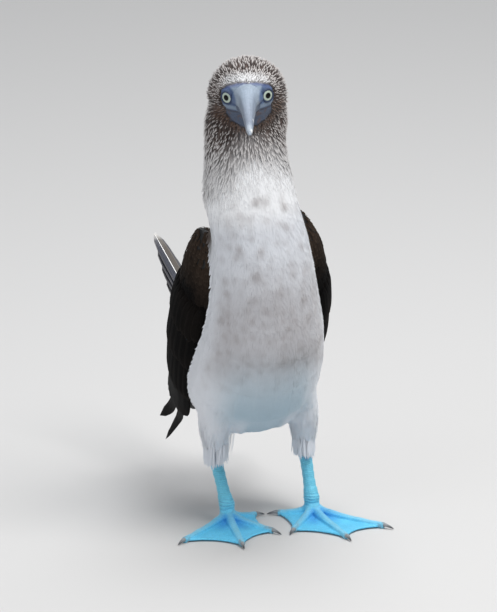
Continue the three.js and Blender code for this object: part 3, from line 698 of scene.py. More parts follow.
def makePlumage(
    name, barbs, shaft=0.0, edge=0.0, edgeTint=(1, 1, 1, 1), lines=60.0, roughness=0.8, drifts=0.2,
    strength=0.35, sheen=0.25, gloss=0.25,
):
    finish, tree, shader, tint = newMaterial(
        name, roughness, Sheen_Weight=sheen, Sheen_Roughness=0.5, Specular_IOR_Level=gloss,
    )
    drift = placeGroup(tree, softTone, {"Tint": tint, "Size": 70.0, "Amount": drifts})
    values = {"Barbs": barbs, "Lines": lines, "Shaft": shaft, "Edge": edge, "EdgeTint": edgeTint}
    vane = placeGroup(tree, featherBarbs, {"Tint": drift.outputs["Color"], **values})
    finishWith(tree, shader, vane.outputs["Color"], vane.outputs["Height"], strength, 0.0004)
    return finish


materials = {
    "soft": makePlumage("plumageSoft", 0.08, drifts=0.05, strength=0.08, sheen=0.4),
    "streak": makePlumage("plumageStreak", 0.2, shaft=0.15, drifts=0.15),
    "mantle": makePlumage("plumageMantle", 0.35, shaft=0.5, edge=0.75, edgeTint=(*tone("#b9ab9c"), 1)),
    "wing": makePlumage(
        "plumageWing", 0.4, shaft=0.25, edge=0.03, edgeTint=(*tones["wingEdge"], 1), lines=110.0,
        roughness=0.85, sheen=0.0, gloss=0.05,
    ),
    "flight": makePlumage(
        "plumageFlight", 0.4, shaft=0.3, edge=0.02, edgeTint=(*tones["wingEdge"], 1), lines=200.0,
        roughness=0.75, sheen=0.0, gloss=0.07,
    ),
    "tail": makePlumage(
        "plumageTail", 0.4, shaft=1.0, edge=0.18, edgeTint=(*tone("#c9c4be"), 1), lines=190.0,
        roughness=0.55, sheen=0.05,
    ),
}


def makeSkinMaterial():
    finish, tree, shader, tint = newMaterial("skinBare", 0.55, Specular_IOR_Level=0.4)
    drift = placeGroup(tree, softTone, {"Tint": tint, "Size": 110.0, "Amount": 0.3})
    cells = placeGroup(tree, skinCells, {"Tint": drift.outputs["Color"], "Size": 900.0, "Crease": 0.35})
    finishWith(tree, shader, cells.outputs["Color"], cells.outputs["Height"], 0.5, 0.0003)
    return finish


def makeFootMaterial():
    finish, tree, shader, tint = newMaterial(
        "skinFoot", 0.45, Specular_IOR_Level=0.5, Coat_Weight=0.12, Coat_Roughness=0.35,
    )
    drift = placeGroup(tree, softTone, {"Tint": tint, "Size": 60.0, "Amount": 0.25})
    cells = placeGroup(tree, skinCells, {"Tint": drift.outputs["Color"], "Size": 620.0, "Crease": 0.3})
    waves = {
        "Vector": objectPlace(tree), "Scale": 190.0, "Distortion": 5.0, "Detail": 2.0, "Detail Scale": 0.6,
    }
    rings = put(tree, "ShaderNodeTexWave", waves, bands_direction="Z").outputs[1]
    lines = times(tree, window(tree, rings, 0.35, 0.02), ownValue(tree, "shank").outputs["Fac"])
    dark = toned(tree, cells.outputs["Color"], 0.62, 1.05)
    colour = mixColour(tree, times(tree, lines, 0.55), cells.outputs["Color"], dark)
    height = sums(tree, "SUBTRACT", cells.outputs["Height"], times(tree, lines, 0.9))
    finishWith(tree, shader, colour, height, 0.55, 0.0004)
    return finish


def makeHornMaterial(name, roughness, streaks):
    finish, tree, shader, tint = newMaterial(
        name, roughness, Specular_IOR_Level=0.4, Coat_Weight=0.06, Coat_Roughness=0.35,
    )
    grain = placeGroup(tree, hornGrain, {"Tint": tint, "Streaks": streaks})
    finishWith(tree, shader, grain.outputs["Color"], grain.outputs["Height"], 0.3, 0.0004)
    return finish


def makeEyeMaterial():
    finish, tree, shader, tint = newMaterial(
        "eyeGloss", 0.12, Specular_IOR_Level=0.12, Coat_Weight=0.12, Coat_Roughness=0.02,
    )
    drift = placeGroup(tree, softTone, {"Tint": tint, "Size": 500.0, "Amount": 0.15})
    tree.links.new(drift.outputs["Color"], shader.inputs["Base Color"])
    return finish


materials.update(
    skin=makeSkinMaterial(), foot=makeFootMaterial(), bill=makeHornMaterial("billHorn", 0.5, 0.4),
    claw=makeHornMaterial("clawHorn", 0.4, 0.5), eye=makeEyeMaterial(),
)
print("materials ready")


# The skin: one closed surface under the coat
skinSize = {
    "voxelBody": 2.4, "voxelHead": 1.1, "voxelLeg": 0.8, "coat": 3.2, "coatHead": 3.0, "coatThigh": 2.6,
    "legGrow": 0.2, "hemTaper": 0.5, "shankGrow": 0.9, "jointGrow": 1.2,
    "headFrom": 314.0, "hemSink": 7.0,
    # across, height, spread and how far aside it starts
    "fuller": ((-5.0, 352, 28, (8, 38)), (4.0, 424, 15, (8, 32)), (-2.4, 462, 17, (24, 38))),
    "eyeBulge": 8.9, "eyeSink": 6.6, "eyeRoom": 0.7,
    # plugs across the thin gaps between nodes: middle and radius
    "neckPlug": ((3.5, -76.0, 306.0), 44.0), "headPlug": ((0.0, 24.0, -20.0), 30.0),
}
eye = {
    "radius": 8.0, "x": 15.9, "y": -1.4, "z": {-1: -0.2, 1: -1.3}, "turn": {-1: 38.0, 1: 34.0},
    "opening": 5.5, "pupil": 2.75, "iris": 5.2, "dome": 0.9,
}


def eyeFacing(side):
    turn = math.radians(eye["turn"][side])
    return np.array([side * math.sin(turn), -math.cos(turn), 0.0])


def eyeCentre(side):
    return np.array([side * eye["x"], eye["y"], eye["z"][side]])


def eyeAxes(side):  # ahead out of the eye, across it and up
    axis = eyeFacing(side)
    across = unit(np.cross(axis, (0.0, 0.0, 1.0)))
    return axis, across, np.cross(across, axis)


def eyeRing(h, side):  # offsets from the ball, how far ahead of its middle and how far from its axis
    off = h - eyeCentre(side)
    along = off @ eyeFacing(side)
    return off, along, np.linalg.norm(off - along[:, None] * eyeFacing(side), axis=1)


def nodeParts(*names):
    points, faces, start = [], [], 0
    for name in names:
        mesh = nodes[name].data
        own = pointsOf(mesh)
        points.append(own)
        faces.append(trianglesOf(mesh) + start)
        start += len(own)
    return np.vstack(points), np.vstack(faces)


def ballParts(centre, radius):
    ball = bmesh.new()
    bmesh.ops.create_icosphere(ball, subdivisions=4, radius=radius)
    points = np.array([v.co for v in ball.verts]) + centre
    faces = np.array([[v.index for v in f.verts] for f in ball.faces])
    ball.free()
    return points, faces


def splitQuads(faces):
    made = []
    for group in faces:
        made.append(group if group.shape[1] == 3 else np.vstack([group[:, [0, 1, 2]], group[:, [0, 2, 3]]]))
    return np.vstack(made)


def joinParts(parts):
    start, points, faces = 0, [], []
    for own, ownFaces in parts:
        points.append(own)
        faces.append(ownFaces + start)
        start += len(own)
    return np.vstack(points), np.vstack(faces)


def remeshed(name, parts, voxel, rounds):  # one smooth closed surface round all the parts
    points, faces = joinParts(parts)
    rough = makeObject(name, points, faces)
    modifier = rough.modifiers.new("remesh", "REMESH")
    modifier.mode = "VOXEL"
    modifier.voxel_size = voxel * mm
    ready = bpy.data.meshes.new_from_object(rough.evaluated_get(bpy.context.evaluated_depsgraph_get()))
    bpy.data.objects.remove(rough)
    points = relax(pointsOf(ready), ready, rounds)
    quads = np.empty(len(ready.loops), np.int32)
    ready.loops.foreach_get("vertex_index", quads)
    faces = quads.reshape(-1, 4)
    bpy.data.meshes.remove(ready)
    return points, faces


def wingCoreParts(side):
    along = wing["coreEnd"] * np.linspace(0, 1, 30) ** 1.15
    past = np.clip((along - wing["taperFrom"]) / (wing["coreEnd"] - wing["taperFrom"]), 0, 1)
    taper = np.maximum(np.sqrt(1 - past**2), 0.12)
    row = wingRow(along)
    rings = np.stack([
        wingAround(side, along, np.full(len(along), angle), row[:, 4] * taper, row[:, 5] * taper)
        for angle in np.linspace(0, 2 * math.pi, 32, endpoint=False)
    ], axis=1)
    points, faces = loftRings(rings)
    return moved(points, bodyMatrix), splitQuads(faces)


def tailCoreParts():
    rows = smoothRows(tail["core"], np.linspace(0, len(tail["core"]) - 1, 20))
    rings = np.stack([
        tailPoint(
            rows[:, 0], rows[:, 1] * math.cos(angle), rows[:, 2] * math.sin(angle) - 2.0,
            np.zeros(len(rows)),
        )
        for angle in np.linspace(0, 2 * math.pi, 28, endpoint=False)
    ], axis=1)
    points, faces = loftRings(rings)
    return moved(points, bodyMatrix), splitQuads(faces)


def sunk(points, faces, depth):
    return points - pointNormals(points, splitQuads([faces])) * depth[:, None]


def plugParts(name, matrix):
    middle, radius = skinSize[name]
    return ballParts(moved(np.array([middle]), matrix)[0], radius)


def eyeParts():
    radius = eye["radius"] + skinSize["eyeRoom"]
    return [ballParts(moved(eyeCentre(side)[None], headMatrix)[0], radius) for side in (-1, 1)]


def makeBodySkin():
    parts = [nodeParts("torso", "neck", "head", "thigh_right", "thigh_left")]
    parts += [wingCoreParts(-1), wingCoreParts(1), tailCoreParts(), *eyeParts()]
    parts += [plugParts("neckPlug", bodyMatrix), plugParts("headPlug", headMatrix)]
    return remeshed("bodyForm", parts, skinSize["voxelBody"], 4)


def makeHeadSkin():
    parts = [nodeParts("head", "neck"), plugParts("headPlug", headMatrix), *eyeParts()]
    return remeshed("headForm", parts, skinSize["voxelHead"], 5)


def foldsAt(q):  # the wrinkles above the foot, -1 to 1
    waves = np.sin(q[:, 2] * 2.3 + 3.0 * softNoise(q, 9, 23)) * (0.6 + 0.4 * softNoise(q, 5, 24))
    return waves * ease(10, 14, q[:, 2]) * ease(30, 22, q[:, 2])


def makeLegSkin():
    parts = []
    for side in ("right", "left"):
        for name in ("tarsus_" + side, "foot_" + side):
            points, faces = nodeParts(name)
            parts.append((points + pointNormals(points, faces) * skinSize["legGrow"], faces))
    points, faces = remeshed("legForm", parts, skinSize["voxelLeg"], 3)
    z = onFloor(points)[:, 2]
    normals = pointNormals(points, splitQuads([faces]))
    level = normals * (1.0, 1.0, 0.0)
    swell = skinSize["shankGrow"] * ease(9, 20, z) + skinSize["jointGrow"] * np.exp(-((z - 18) / 6) ** 2)
    points = points + level * swell[:, None]
    smoothed = np.column_stack([relaxValues(points[:, k], faces, len(points), 60) for k in range(3)])
    points = blend(points, smoothed, ease(5, 9, z) * ease(28, 18, z))
    return points + level * (0.5 * foldsAt(onFloor(points)))[:, None], faces


def shapeFace(h):  # the skin closes round each eyeball and leaves it open in front
    for side in (-1, 1):
        off, along, ring = eyeRing(h, side)
        reach = np.linalg.norm(off, axis=1)
        near = (along > 0) & (reach < 13)
        lid = near * ease(9.0, 5.6, ring) * ease(12.5, 10, reach)
        h = h + off / np.maximum(reach, 1e-6)[:, None] * (lid * (skinSize["eyeBulge"] - reach))[:, None]
        fold = near * np.exp(-((ring - 7.6) / 0.8) ** 2)
        h = h - off / np.maximum(reach, 1e-6)[:, None] * (0.45 * fold)[:, None]
        hole = near * ease(eye["opening"] + 0.45, eye["opening"] - 0.25, ring)
        off = h - eyeCentre(side)
        reach = np.linalg.norm(off, axis=1)
        h = h + off / np.maximum(reach, 1e-6)[:, None] * (hole * (skinSize["eyeSink"] - reach))[:, None]
    x, z = np.abs(h[:, 0]), h[:, 2]
    gape = np.exp(-((z - face["gape"]) / 0.9) ** 2) * ease(7, 11, x) * ease(24, 20, x) * ease(8, 2, h[:, 1])
    return moved(h + gape[:, None] * (0.0, 0.8, 0.0), headMatrix)


def makeShell(points, faces):
    triangles = splitQuads([faces])
    a, b, c = (points[triangles[:, k]] for k in range(3))
    return {
        "points": points, "triangles": triangles, "normals": pointNormals(points, triangles),
        "areas": np.linalg.norm(np.cross(b - a, c - a), axis=1) / 2,
        "tree": BVHTree.FromPolygons(points.tolist(), triangles.tolist()),
    }


def wingShare(b):  # how far out of the wing's core a point lies: under 1 is inside
    best = np.full(len(b), 9.0)
    along = np.zeros(len(b))
    samples = np.linspace(2, wing["coreEnd"], 70)
    row = wingRow(samples)
    run = unit(wingRow(samples + 6)[:, 2:4] - wingRow(samples - 6)[:, 2:4])
    for side in (-1, 1):
        for k in range(len(samples)):
            off = b[:, 1:] - (row[k, 2], row[k, 3] - wing["drop"][side])
            ahead = off @ run[k]
            across = off @ np.array([-run[k, 1], run[k, 0]])
            out = (b[:, 0] - row[k, 0]) * side - row[k, 1]
            share = np.sqrt((out / row[k, 4]) ** 2 + (across / row[k, 5]) ** 2 + (ahead / 9) ** 2)
            closer = share < best
            best = np.where(closer, share, best)
            along = np.where(closer, samples[k] * side, along)
    return best, along


thigh = {
    "top": (128, 100), "inner": (14, 24), "behind": (30, 12),
    # the lower edge of its feathers: on the left, and on the right with a rise towards the inside
    "hemLeft": 61.0, "hemRight": 57.5, "hemRise": 8.0, "riseFrom": (-60, -38), "ragged": 1.6, "tatter": 4.0,
}


def legShare(b):  # 1 on the thighs
    return (
        ease(*thigh["top"], b[:, 2]) * ease(*thigh["inner"], np.abs(b[:, 0]))
        * ease(*thigh["behind"], b[:, 1])
    )


def fillNeck(p):  # fuller plumage: low on the neck's right, high on its left, and on the head's right
    b = inBody(p)
    push = np.zeros(len(b))
    for across, middle, spread, aside in skinSize["fuller"]:
        side = np.sign(across)
        push += across * np.exp(-((b[:, 2] - middle) / spread) ** 2) * ease(*aside, side * b[:, 0])
    return p + turned(push[:, None] * (1.0, 0.0, 0.0), bodyMatrix)


def hemAt(q):  # how low the feathers of the thighs hang, for points on the floor's frame
    right = thigh["hemRight"] + thigh["hemRise"] * ease(*thigh["riseFrom"], q[:, 0])
    hem = np.where(q[:, 0] > 0, thigh["hemLeft"], right)
    return hem + thigh["ragged"] * softNoise(q, thigh["tatter"], 22)


def aboveHem(p):
    q = onFloor(p)
    return q[:, 2] - hemAt(q)


def shankTops(q):  # the middle of the shank's upper end on each point's own side
    places = {}
    for side, name in ((-1, "tarsus_right"), (1, "tarsus_left")):
        own = onFloor(nodeParts(name)[0])
        places[side] = own[own[:, 2] > 58, :2].mean(0)
    return np.where(q[:, :1] < 0, places[-1], places[1])


def buildSkin():
    points, faces = makeBodySkin()
    h, b = inHead(points), inBody(points)
    onHead = ease(52, 44, np.linalg.norm(h - (0, 20, -5), axis=1))
    leg = legShare(b)
    depth = skinSize["coat"] + 2.0 * onHead - (skinSize["coat"] - skinSize["coatThigh"]) * leg
    q = onFloor(sunk(points, faces, depth))
    narrow = skinSize["hemTaper"] * leg * ease(16, 2, q[:, 2] - hemAt(q))
    q[:, :2] += (shankTops(q) - q[:, :2]) * narrow[:, None]
    bodyPoints = fillNeck(moved(q, standMatrix))
    body = makeShell(bodyPoints, faces)
    print("body skin", len(faces))

    headPoints, headFaces = makeHeadSkin()
    h = inHead(headPoints)
    height = inBody(headPoints)[:, 2]
    depth = (
        skinSize["coatHead"] * (1 - bareness(h))
        + skinSize["hemSink"] * ease(skinSize["headFrom"] + 28, skinSize["headFrom"], height)
    )
    depth = relaxValues(depth, headFaces, len(headPoints), 6)
    headPoints = fillNeck(sunk(headPoints, headFaces, depth))
    headPoints, headFaces = keepFaces(headPoints, headFaces, height > skinSize["headFrom"])
    headPoints = shapeFace(inHead(headPoints))
    head = makeShell(headPoints, headFaces)
    print("head skin", len(headFaces))

    legPoints, legFaces = makeLegSkin()
    print("leg skin", len(legFaces))
    points = np.vstack([bodyPoints, headPoints, legPoints])
    faces = np.vstack([faces, headFaces + len(bodyPoints), legFaces + len(bodyPoints) + len(headPoints)])
    skin = makeObject("skin", points, faces)
    mesh = skin.data
    setTint(mesh, np.vstack([skinTint(bodyPoints), headTint(headPoints), footTint(legPoints)]))
    leg = onFloor(legPoints)
    shank = ease(11, 16, leg[:, 2]) * ease(20, 0, np.abs(leg[:, 1] - 8))
    setValue(mesh, "shank", np.concatenate([np.zeros(len(bodyPoints) + len(headPoints)), shank]))
    mesh.materials.append(materials["skin"])
    mesh.materials.append(materials["foot"])
    slots = np.zeros(len(faces), np.int32)
    slots[-len(legFaces):] = 1
    mesh.polygons.foreach_set("material_index", slots)
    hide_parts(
        "torso", "neck", "head", "thigh_right", "thigh_left", "tarsus_right", "tarsus_left",
        "foot_right", "foot_left",
    )
    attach(skin, "root")
    return body, head


def keepFaces(points, faces, wanted):  # keeps the faces whose corners are all wanted
    faces = faces[wanted[faces].all(1)]
    used = np.zeros(len(points), bool)
    used[faces] = True
    return points[used], (np.cumsum(used) - 1)[faces]


def relaxValues(values, faces, count, rounds):
    a, b = faces.ravel(), np.roll(faces, 1, axis=1).ravel()
    number = np.bincount(a, minlength=count) + np.bincount(b, minlength=count)
    for _ in range(rounds):
        total = np.bincount(a, values[b], count) + np.bincount(b, values[a], count)
        values = 0.4 * values + 0.6 * total / np.maximum(number, 1)
    return values


def skinTint(p):
    share = wingShare(inBody(p))[0]
    return blend(plumageTone(p) * 0.8, tones["wingDark"], ease(1.0, 0.97, share))


def headTint(p):
    h, b = inHead(p), inBody(p)
    feathered = blend(tones["darkBrown"], tones["white"] * 0.8, whiteness(b))
    feathered = blend(feathered, tones["tip"] * 0.75, browShare(h))
    colour = blend(feathered, bareTone(h), bareness(h))
    for side in (-1, 1):
        _, along, ring = eyeRing(h, side)
        colour = blend(colour, tones["eyeRing"], ease(7.8, 6.1, ring) * (along > 0))
    return colour


def browShare(h):  # the whitest feathers, just above the bill
    x = np.abs(h[:, 0])
    line = h[:, 2] - browLine(h[:, 0])
    return ease(7.5, 1.5, line) * ease(-6, 0, line) * ease(27, 12, x) * ease(16, 6, h[:, 1])


# The deepest blue serves as painted shade in the folds and in the hollows of the webs.
foot = {
    "worn": tone("#8b8a88"), "web": tone("#6bd3fc"), "toe": tone("#95d3e8"), "deep": tone("#3f9be4"),
    "shank": tone("#7cdaf6"), "ankle": tone("#6570c8"),
}
toes = {  # angles from straight ahead, opening outwards, and lengths: hallux, inner, middle, outer
    "angles": {-1: (-113, -37, 4, 46), 1: (-113, -33, 10, 47)}, "lengths": (33, 55, 80, 78),
    "heels": {-1: (-41.6, 0.0), 1: (41.6, 0.0)}, "ankleTop": 63.0,
}


def footTint(p):
    q = onFloor(p)
    colour = blend(foot["web"], foot["shank"], ease(10, 20, q[:, 2]))
    colour = blend(
        colour, foot["ankle"],
        ease(toes["ankleTop"] - 10, toes["ankleTop"], q[:, 2] + 3.0 * softNoise(q, 3.0, 21)) * 0.75,
    )
    # painted shade in the troughs of the folds above the foot
    colour = blend(colour, foot["deep"] * 0.6, 0.4 * ease(-0.1, -0.7, foldsAt(q)))
    low = ease(15, 11, q[:, 2])
    for side in (-1, 1):
        off = q[:, :2] - toes["heels"][side]
        reach = np.linalg.norm(off, axis=1)
        mine = (np.sign(q[:, 0] + 0.01) == side) * low
        bearing = np.degrees(np.arctan2(off[:, 0] * side, -off[:, 1]))
        angles = toes["angles"][side]
        for k, angle in enumerate(angles):
            aside = np.abs((bearing - angle + 180) % 360 - 180)
            across = np.sin(np.radians(np.minimum(aside, 90))) * reach
            toe = ease(4.0, 1.8, across) * ease(90, 60, aside) * mine
            colour = blend(colour, foot["toe"], 0.55 * toe)
            worn = toe * ease(-14, -3, reach - toes["lengths"][k]) * ease(-0.3, 0.6, softNoise(q, 4.0, 25))
            colour = blend(colour, foot["worn"], 0.7 * worn)
        # painted shade in the hollows of the webs between the toes
        for first, second in ((1, 2), (2, 3)):
            middle = (angles[first] + angles[second]) / 2
            hollow = (
                np.exp(-((bearing - middle) / 15) ** 2) * ease(8, 14, reach) * ease(44, 20, reach) * mine
            )
            colour = blend(colour, foot["deep"], 0.75 * hollow)
    return colour


bodyShell, headShell = buildSkin()
print("skin built")


# Growing feathers over a shell
def rootsOn(shell, spacing, seed, want):  # evenly scattered roots, kept where want() allows
    rng = np.random.default_rng(seed)
    share = np.cumsum(shell["areas"])
    count = int(share[-1] / spacing**2 * 2.6)
    picked = np.searchsorted(share, rng.random(count) * share[-1])
    u, v = rng.random(count), rng.random(count)
    over = u + v > 1
    u, v = np.where(over, 1 - u, u), np.where(over, 1 - v, v)
    weights = np.stack([1 - u - v, u, v], axis=1)[:, :, None]
    corners = shell["triangles"][picked]
    roots = (shell["points"][corners] * weights).sum(1)
    normals = unit((shell["normals"][corners] * weights).sum(1))
    kept = rng.random(count) < want(roots)
    roots, normals = roots[kept], normals[kept]
    reach = spacing * 0.78
    cells = {}
    chosen = []
    keys = np.floor(roots / reach).astype(int).tolist()
    places = roots.tolist()
    limit = reach * reach
    around = [(x, y, z) for x in (-1, 0, 1) for y in (-1, 0, 1) for z in (-1, 0, 1)]
    for i, (kx, ky, kz) in enumerate(keys):
        px, py, pz = places[i]
        free = True
        for x, y, z in around:
            for qx, qy, qz in cells.get((kx + x, ky + y, kz + z), ()):
                if (qx - px) ** 2 + (qy - py) ** 2 + (qz - pz) ** 2 < limit:
                    free = False
                    break
            if not free:
                break
        if free:
            cells.setdefault((kx, ky, kz), []).append((px, py, pz))
            chosen.append(i)
    return roots[chosen], normals[chosen]


def lieOver(p, normals, splay=0.0):  # which way the feathers point, from bill to tail
    b, h = inBody(p), inHead(p)
    _, run, angle = trunkPlace(b)
    aside = np.column_stack([np.sin(angle), np.zeros(len(b)), np.zeros(len(b))])
    down = run + aside * splay
    leg = legShare(b)
    down = blend(down, (0.0, 0.12, -1.0), leg)
    down = turned(down, bodyMatrix)
    away = turned(h - (0.0, -16.0, -2.0), headMatrix)
    onHead = (
        ease(-34, -8, h[:, 2]) * ease(62, 30, h[:, 1])
        + ease(-60, -34, h[:, 2]) * 0.45 * ease(20, -5, h[:, 1])
    )
    lie = blend(unit(down), unit(away), np.clip(onHead, 0, 1))
    lie = lie - normals * (lie * normals).sum(1)[:, None]
    return unit(lie)


def snapTo(shell, points):
    tree, normals, triangles = shell["tree"], shell["normals"], shell["triangles"]
    found = [tree.find_nearest(point) for point in points.tolist()]
    places = np.array([hit[0] for hit in found])
    corners = triangles[[hit[2] for hit in found]]
    return places, unit(normals[corners].sum(1))


def unwrapBody(p):
    place, _, angle = trunkPlace(inBody(p))
    return np.column_stack([0.5 + angle / (2 * math.pi) * 0.94, 0.02 + 0.95 * place])


def unwrapHead(p):
    h = inHead(p)
    angle = np.arctan2(h[:, 0], h[:, 2] + 8)
    down = 0.05 + (h[:, 1] + 20 - 0.6 * np.minimum(h[:, 2], 0)) / 240
    return np.column_stack([0.5 + angle / (2 * math.pi) * 0.94, np.clip(down, 0.02, 0.97)])


bakePatch = 0.003  # how much of the baked picture one feather takes
shapes = {  # share of the length, share of the width; the last is the tip
    "hair": [(0.0, 0.55), (0.45, 1.0), (0.8, 0.7), (1.0, 0.0)],
    "lance": [(0.0, 0.5), (0.4, 1.0), (0.72, 0.8), (1.0, 0.0)],
    "round": [(0.0, 0.45), (0.4, 0.92), (0.75, 1.0), (0.93, 0.66), (1.0, 0.22)],
}


def featherFaces(shape, wide, count, per):  # wide: points across a row, per: points in a feather
    quads, ends = [], []
    for r in range(len(shape) - 1):
        start = r * wide
        pointed = shape[r + 1][1] == 0.0
        for k in range(wide - 1):
            if pointed:
                ends.append((start + wide, start + k + 1, start + k))
            else:
                quads.append((start + wide + k, start + wide + k + 1, start + k + 1, start + k))
    base = (np.arange(count) * per)[:, None, None]
    return [(np.array(group)[None] + base).reshape(-1, len(group[0])) for group in (quads, ends) if group]


def growFeathers(name, shell, roots, normals, lie, tract, paint, material, seed):
    rng = np.random.default_rng(seed)
    count = len(roots)
    shape = shapes[tract["shape"]]
    length = tract["length"] * rng.uniform(0.82, 1.16, count) * tract.get("lengthAt", lambda p: 1.0)(roots)
    width = tract["width"] * rng.uniform(0.85, 1.15, count) * tract.get("widthAt", lambda p: 1.0)(roots)
    lift = tract["lift"] * rng.uniform(0.55, 1.3, count) * tract.get("liftAt", lambda p: 1.0)(roots)
    turn = rng.normal(0, tract.get("stray", 0.1), count)[:, None]
    side = np.cross(normals, lie)
    lie = unit(lie * np.cos(turn) + side * np.sin(turn))
    side = np.cross(normals, lie)
    curl = rng.normal(0, tract.get("curl", 0.06), count)
    wide = 3 if tract.get("ridge", 0) > 0 else 2
    rowPoints, rowNormals, rowTints, rowUv = [], [], [], []
    for share, full in shape:
        raw = roots + lie * (length * share)[:, None] + side * (curl * length * share * share)[:, None]
        place, normal = (raw, normals) if tract.get("loose") else snapTo(shell, raw)
        height = tract["height"] + lift * share ** tract.get("rise", 1.2)
        middle = place + normal * height[:, None]
        across = unit(np.cross(normal, lie))
        half = (width * full / 2)[:, None]
        tints = paint(middle, roots, np.full(count, share))
        for k in [0] if full == 0.0 else [-1, 0, 1] if wide == 3 else [-1, 1]:
            raised = tract.get("ridge", 0.0) * (1 - abs(k)) - tract.get("camber", 0.0) * abs(k) * full
            rowPoints.append(middle + across * half * k + normal * raised)
            rowNormals.append(unit(normal + across * (k * tract.get("roll", 0.35))))
            rowTints.append(tints if k == 0 or wide == 2 else tints * tract.get("edgeShade", 1.0))
            rowUv.append(np.column_stack([np.full(count, 0.5 + 0.5 * k), np.full(count, share)]))
    per = len(rowPoints)
    points = np.stack(rowPoints, axis=1).reshape(-1, 3)
    tints = np.stack(rowTints, axis=1).reshape(-1, 3)
    vane = np.stack(rowUv, axis=1).reshape(-1, 2)
    own = np.stack(rowNormals, axis=1).reshape(-1, 3)
    groups = featherFaces(shape, wide, count, per)
    piece = makeObject(name, points, groups)
    mesh = piece.data
    setTint(mesh, np.clip(tints, 0, 1))
    setValue(mesh, "pick", np.repeat(rng.random(count), per))
    setUv(mesh, "vane", vane)
    unwrap = unwrapHead if shell is headShell else unwrapBody
    setUv(mesh, "OFBake", np.repeat(unwrap(roots), per, axis=0) + (vane - (0.5, 0)) * bakePatch)
    mesh.normals_split_custom_set_from_vertices(own.tolist())
    mesh.materials.append(material)
    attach(piece, "root")
    triangles = sum(len(group) * (group.shape[1] - 2) for group in groups)
    print(name, count, "feathers", triangles, "triangles")
    return piece


def growTract(name, shell, tract, want, lie, paint, material, seed, slot):
    roots, normals = rootsOn(shell, tract["spacing"], seed, want)
    piece = growFeathers(name, shell, roots, normals, lie(roots, normals), tract, paint, material, seed + 1)


# The head and neck: dark feathers under pale pointed tips
def headWant(p):
    h, b = inHead(p), inBody(p)
    return (bareness(h) < 0.45) * ease(316, 326, b[:, 2]) * ease(0.99, 0.9, whiteness(b))


def faceNear(p):  # 0 beside the bare face, 1 well away from it
    h = inHead(p)
    x, z = np.abs(h[:, 0]), h[:, 2]
    line = z - browLine(h[:, 0])
    far = np.where(
        z > 0, np.maximum(line, h[:, 1] - 2), np.maximum(h[:, 1] - 5, np.maximum(-z - 36, x - 25)),
    )
    return ease(-1, 14, far)


def whiteAt(p):
    return whiteness(inBody(p))


def onBrow(p):
    return ease(-3, 3, inHead(p)[:, 2])


def neckShare(p):
    return ease(-20, -78, inHead(p)[:, 2])


def rust(h):  # the warm brown feathers at the corners of the mouth and round the bare throat
    x, y, z = np.abs(h[:, 0]), h[:, 1], h[:, 2]
    corner = ease(8, 3, np.abs(x - 25)) * ease(-8, -13, z) * ease(-27, -20, z)
    below = ease(1.45, 1.1, gularReach(h)) * ease(-15, -22, z)
    return np.maximum(corner, below) * ease(18, 8, y)


def paintStreak(tipFrom):
    def paint(middle, roots, share):
        h, b = inHead(roots), inBody(roots)
        white = whiteness(b)
        brow = browShare(h)
        dark = blend(tones["darkBrown"], tones["brown"], ease(-0.6, 0.7, softNoise(b, 9, 31)))
        rusty = rust(h)
        # the white here is the plumage's own white, brightened as painted light for the neck under the head
        base = blend(dark, tones["neckLitWhite"], np.maximum(white, 0.4 * brow))
        tip = blend(
            tones["tip"], tones["neckLitWhite"],
            np.maximum(np.maximum(white, 0.75 * brow), 0.5 * neckShare(roots)),
        )
        base = blend(base, tones["rust"], 0.7 * rusty)
        tip = blend(tip, tones["rust"], 0.8 * rusty)
        reach = ease(
            tipFrom - 0.25 * brow - 0.32 * neckShare(roots), tipFrom + 0.22 - 0.12 * neckShare(roots), share
        )
        return blend(base, tip, reach)
    return paint


def paintUnder(middle, roots, share):
    h, b = inHead(roots), inBody(roots)
    dark = blend(tones["darkBrown"], tones["brown"], ease(-0.5, 0.5, softNoise(b, 6, 33)))
    dark = blend(dark, tones["tip"] * 0.7, 0.45 * neckShare(roots))
    # the white under-layer uses the neck white, brightened as painted light
    return blend(dark, tones["neckLitWhite"] * 0.92, np.maximum(whiteness(b), browShare(h)))


streaks = {
    "spacing": 2.3, "shape": "lance", "length": 8.2, "width": 1.45, "lift": 2.6, "height": 0.7,
    "ridge": 0.3, "camber": 0.2,
    "stray": 0.17, "edgeShade": 0.82, "roll": 0.5, "rise": 1.1,
    "lengthAt": lambda p: (0.55 + 0.45 * faceNear(p)) * (1 + 0.5 * neckShare(p)),
    "widthAt": lambda p: 0.72 + 0.28 * faceNear(p) + 0.45 * neckShare(p),
    "liftAt": lambda p: (0.45 + 0.55 * faceNear(p)) * (1 - 0.75 * ease(0.2, 1.0, whiteAt(p))),
}
underStreaks = {
    "spacing": 2.4, "shape": "lance", "length": 8.0, "width": 3.0, "lift": 1.0, "height": 0.3, "stray": 0.2,
    "roll": 0.3,
    "lengthAt": lambda p: (0.5 + 0.5 * faceNear(p)) * (1 + 0.4 * neckShare(p)),
    "widthAt": lambda p: 0.6 + 0.4 * faceNear(p),
}


faceDown = {  # the shortest feathers, round the bare face
    "spacing": 1.3, "shape": "lance", "length": 3.8, "width": 0.85, "lift": 1.3, "height": 0.6,
    "ridge": 0.2, "stray": 0.3,
    "roll": 0.4, "rise": 1.1,
}


def lieHead(roots, normals):
    return lieOver(roots, normals, 0.5)


def downWant(p):
    return headWant(p) * ease(0.75, 0.35, faceNear(p)) * onBrow(p)


def growHead():
    finish, slot = materials["streak"], "streaked_feathers"
    growTract("headUnder", headShell, underStreaks, headWant, lieHead, paintUnder, finish, 41, slot)
    growTract("headStreaks", headShell, streaks, headWant, lieHead, paintStreak(0.56), finish, 43, slot)
    growTract("faceDown", headShell, faceDown, downWant, lieHead, paintStreak(0.42), finish, 45, slot)


growHead()
print("head feathered")


